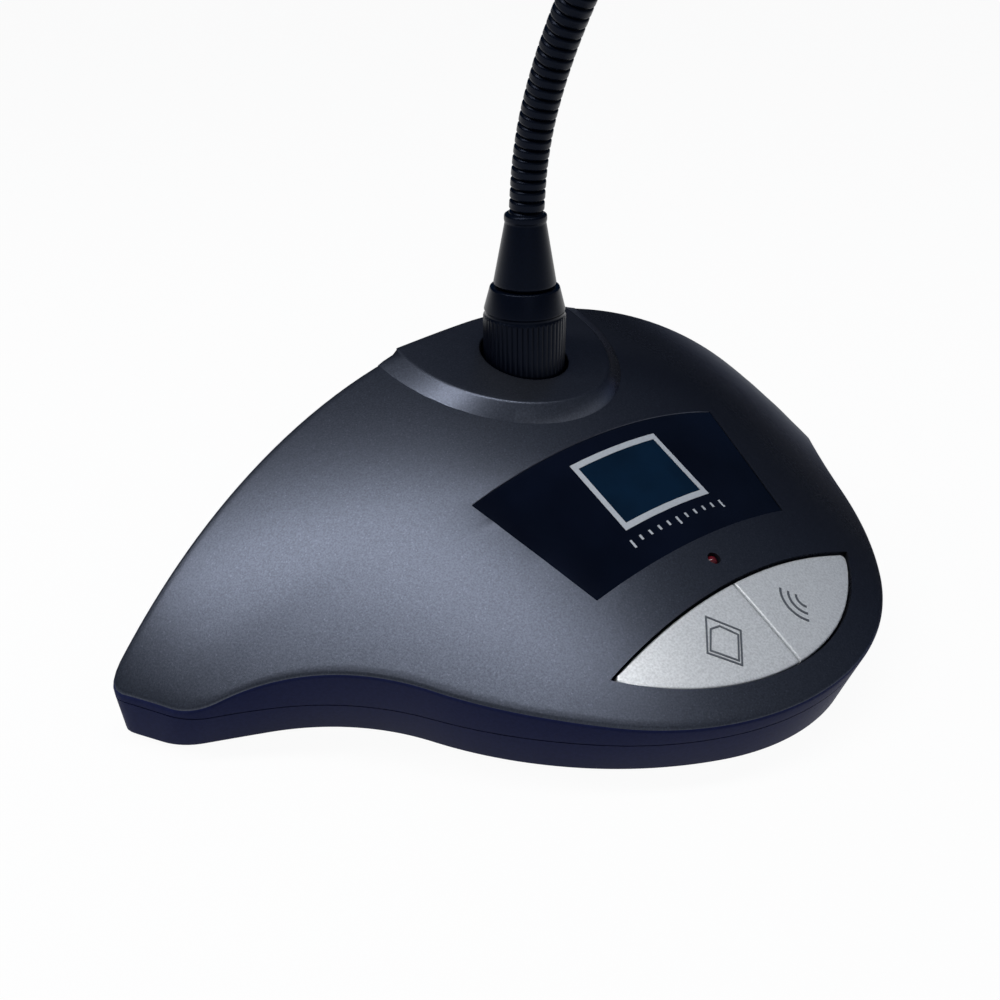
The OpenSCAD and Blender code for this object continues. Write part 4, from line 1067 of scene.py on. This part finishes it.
class MIC_OT_head(bpy.types.Operator):
    """Collar, light ring and foam windscreen at the end of the gooseneck"""

    bl_idname = "mic.head"
    bl_label = "Head"

    def execute(self, context):
        body = "neck_%02d" % NECK_LINKS
        pivot = Vector(JOINTS["neck_sway_%d" % (NECK_LINKS // 2)]["pos_m"])
        below = Vector(JOINTS["neck_pitch_%d" % (NECK_LINKS // 2)]["pos_m"])
        lean = (pivot - below).normalized()
        at = Matrix.Translation(pivot) @ Vector((0, 0, 1)).rotation_difference(lean).to_matrix().to_4x4()
        for name, profile, finish, node in (
                ("head_sleeve", COLLAR_PROFILE, "head_black", "head_collar"),
                ("light_band", LIGHT_PROFILE, "red_lens", "light_ring")):
            obj = turned(name, rounded(profile, 0.4, 4), 96, at)
            smooth(obj, 40)
            settle(obj, body, finish, finish, node)
        nose = FOAM_FOOT + FOAM_LONG - FOAM_R
        dome = [(FOAM_R * cos(radians(a)), nose + FOAM_R * sin(radians(a))) for a in range(0, 90, 3)]
        side = [(FOAM_R, FOAM_FOOT + 3 + 2.0 * k) for k in range(14)]
        foam = turned("foam_cover", [*FOAM_BORE, *side, *dome, (0.0, nose + FOAM_R)], 160, at)
        apply_modifier(foam, "SUBSURF", levels=1, render_levels=1, subdivision_type="SIMPLE")
        pores = bpy.data.textures.new("pores", "CLOUDS")
        pores.noise_scale, pores.noise_depth = PORE_SCALE, 1
        apply_modifier(
            foam, "DISPLACE", texture=pores, strength=PORE_DEPTH, mid_level=0.75, texture_coords="LOCAL")
        smooth(foam, 60)
        settle(foam, body, "foam", "foam", "foam_windscreen")
        return {"FINISHED"}


class MIC_OT_cad_finishes(bpy.types.Operator):
    """Finishes of the CAD nodes that show as they are"""

    bl_idname = "mic.cad_finishes"
    bl_label = "CAD finishes"

    def execute(self, context):
        slots = {part["node"]: part["material_slot"] for part in frame["record"]["subparts"]}
        for name, obj in frame["nodes"].items():
            obj.data.materials.clear()
            obj.data.materials.append(material(slots[name]))
        return {"FINISHED"}


class MIC_OT_stage(bpy.types.Operator):
    """Pale floor, soft studio light and the camera"""

    bl_idname = "mic.stage"
    bl_label = "Stage"

    def execute(self, context):
        settings = context.scene.mic_stage
        scene = context.scene
        scene.view_settings.view_transform = "Standard"
        deselect()
        bpy.ops.mesh.primitive_plane_add(size=FLOOR_SIZE, location=(0, 0, -FLOOR_DROP))
        floor = bpy.context.object
        floor.name = "floor"
        floor.data.materials.append(self.floor_finish())
        self.world(scene, settings.room)
        centre = Vector((0, NECK_Y * MM - 0.04, 0.03))
        for name, (start, end, width, share) in LIGHTS.items():
            lamp = bpy.data.lights.new(name, "AREA")
            start, end = Vector(start), Vector(end)
            lamp.shape, lamp.energy = "RECTANGLE", settings.key_power * share
            lamp.size, lamp.size_y = (end - start).length, width
            along = (end - start).normalized()
            back = (start + end).normalized()
            back = (back - along * back.dot(along)).normalized()
            turn = Matrix((along, back.cross(along), back)).transposed().to_4x4()
            obj = bpy.data.objects.new(name, lamp)
            scene.collection.objects.link(obj)
            obj.matrix_world = Matrix.Translation(centre + (start + end) / 2) @ turn
        self.camera(scene, settings.lens)
        return {"FINISHED"}

    def floor_finish(self):
        """Matt white sweep: white to the eye and in reflections, duller as a source of light."""
        finish = bpy.data.materials.new("white_sweep")
        finish.use_nodes = True
        tree = finish.node_tree
        shader = tree.nodes["Principled BSDF"]
        shader.inputs["Roughness"].default_value = 0.9
        ray = add_node(tree, "ShaderNodeLightPath")
        seen = ray.outputs["Is Camera Ray"]
        for kind in ("Is Glossy Ray", "Is Transmission Ray"):
            either = add_node(tree, "ShaderNodeMath", {0: seen, 1: ray.outputs[kind]}, operation="MAXIMUM")
            seen = either.outputs[0]
        tone = add_node(tree, "ShaderNodeMix", {"Factor": seen}, data_type="RGBA")
        tone.inputs[6].default_value = (0.42, 0.42, 0.42, 1)
        tone.inputs[7].default_value = (0.95, 0.95, 0.95, 1)
        tree.links.new(tone.outputs[2], shader.inputs["Base Color"])
        share = add_node(tree, "ShaderNodeMath", {0: seen}, operation="MULTIPLY")
        share.inputs[1].default_value = FLOOR_GLOW
        glow = add_node(tree, "ShaderNodeEmission", Strength=1.0)
        mix = add_node(
            tree, "ShaderNodeMixShader", {0: share.outputs[0], 1: shader.outputs[0], 2: glow.outputs[0]})
        tree.links.new(mix.outputs[0], tree.nodes["Material Output"].inputs["Surface"])
        return finish

    def world(self, scene, strength):
        """Soft light that fades toward the back and the right of the object; the eye sees white behind it."""
        world = scene.world or bpy.data.worlds.new("studio")
        scene.world = world
        world.use_nodes = True
        tree = world.node_tree
        tree.nodes.clear()
        where = add_node(tree, "ShaderNodeTexCoord").outputs["Generated"]
        side = add_node(tree, "ShaderNodeVectorMath", {0: where}, operation="DOT_PRODUCT")
        side.inputs[1].default_value = ROOM_SIDE
        share = add_node(
            tree, "ShaderNodeMapRange", {"Value": side.outputs["Value"]}, From_Min=-0.5, From_Max=0.95)
        tone = add_node(tree, "ShaderNodeValToRGB", {"Fac": share.outputs["Result"]})
        dark, light = tone.color_ramp.elements
        dark.color, light.color = linear(ROOM_DARK), linear(ROOM_LIGHT)
        soft = add_node(tree, "ShaderNodeBackground", {"Color": tone.outputs["Color"]}, Strength=strength)
        white = add_node(tree, "ShaderNodeBackground", Color=(1, 1, 1, 1), Strength=1.0)
        ray = add_node(tree, "ShaderNodeLightPath")
        mix = add_node(tree, "ShaderNodeMixShader",
                       {0: ray.outputs["Is Camera Ray"], 1: soft.outputs[0], 2: white.outputs[0]})
        add_node(tree, "ShaderNodeOutputWorld", {"Surface": mix.outputs[0]})

    def camera(self, scene, lens):
        """Camera at the photograph's view."""
        level = cos(CAMERA_PITCH)
        look = Vector((sin(CAMERA_YAW) * level, cos(CAMERA_YAW) * level, -sin(CAMERA_PITCH)))
        right = Vector((cos(CAMERA_YAW), -sin(CAMERA_YAW), 0))
        up = right.cross(look)
        data = bpy.data.cameras.new("photo_view")
        data.lens, data.sensor_width = lens, 36
        data.shift_x, data.shift_y = CAMERA_SHIFT
        camera = bpy.data.objects.new("photo_view", data)
        scene.collection.objects.link(camera)
        turn = Matrix((right, up, -look)).transposed().to_4x4()
        camera.matrix_world = Matrix.Translation(place(*CAMERA_AT)) @ turn
        scene.camera = camera


class MIC_PT_panel(bpy.types.Panel):
    """The microphone's settings and the order of its pieces"""

    bl_idname = "MIC_PT_panel"
    bl_label = "Microphone"
    bl_space_type = "VIEW_3D"
    bl_region_type = "UI"
    bl_category = "Microphone"

    def draw(self, context):
        for group, kind in GROUPS:
            for name in kind.__annotations__:
                self.layout.prop(getattr(context.scene, group), name)
        for operator in OPERATORS:
            self.layout.operator(operator.bl_idname)


GROUPS = (("mic_case", CaseSettings), ("mic_keys", KeySettings), ("mic_neck", NeckSettings),
          ("mic_head", HeadSettings), ("mic_stage", StageSettings))
OPERATORS = (MIC_OT_cad_finishes, MIC_OT_case_top, MIC_OT_neck_pad, MIC_OT_case_base, MIC_OT_window,
             MIC_OT_keys, MIC_OT_neck_fittings, MIC_OT_gooseneck, MIC_OT_head, MIC_OT_stage)


def register():
    for name, group in GROUPS:
        bpy.utils.register_class(group)
        setattr(bpy.types.Scene, name, PointerProperty(type=group))
    for operator in OPERATORS:
        bpy.utils.register_class(operator)
    bpy.utils.register_class(MIC_PT_panel)


def unregister():
    bpy.utils.unregister_class(MIC_PT_panel)
    for operator in reversed(OPERATORS):
        bpy.utils.unregister_class(operator)
    for name, group in reversed(GROUPS):
        delattr(bpy.types.Scene, name)
        bpy.utils.unregister_class(group)


def main():
    register()
    for operator in OPERATORS:
        space, name = operator.bl_idname.split(".")
        getattr(getattr(bpy.ops, space), name)()


if __name__ == "__main__":
    main()
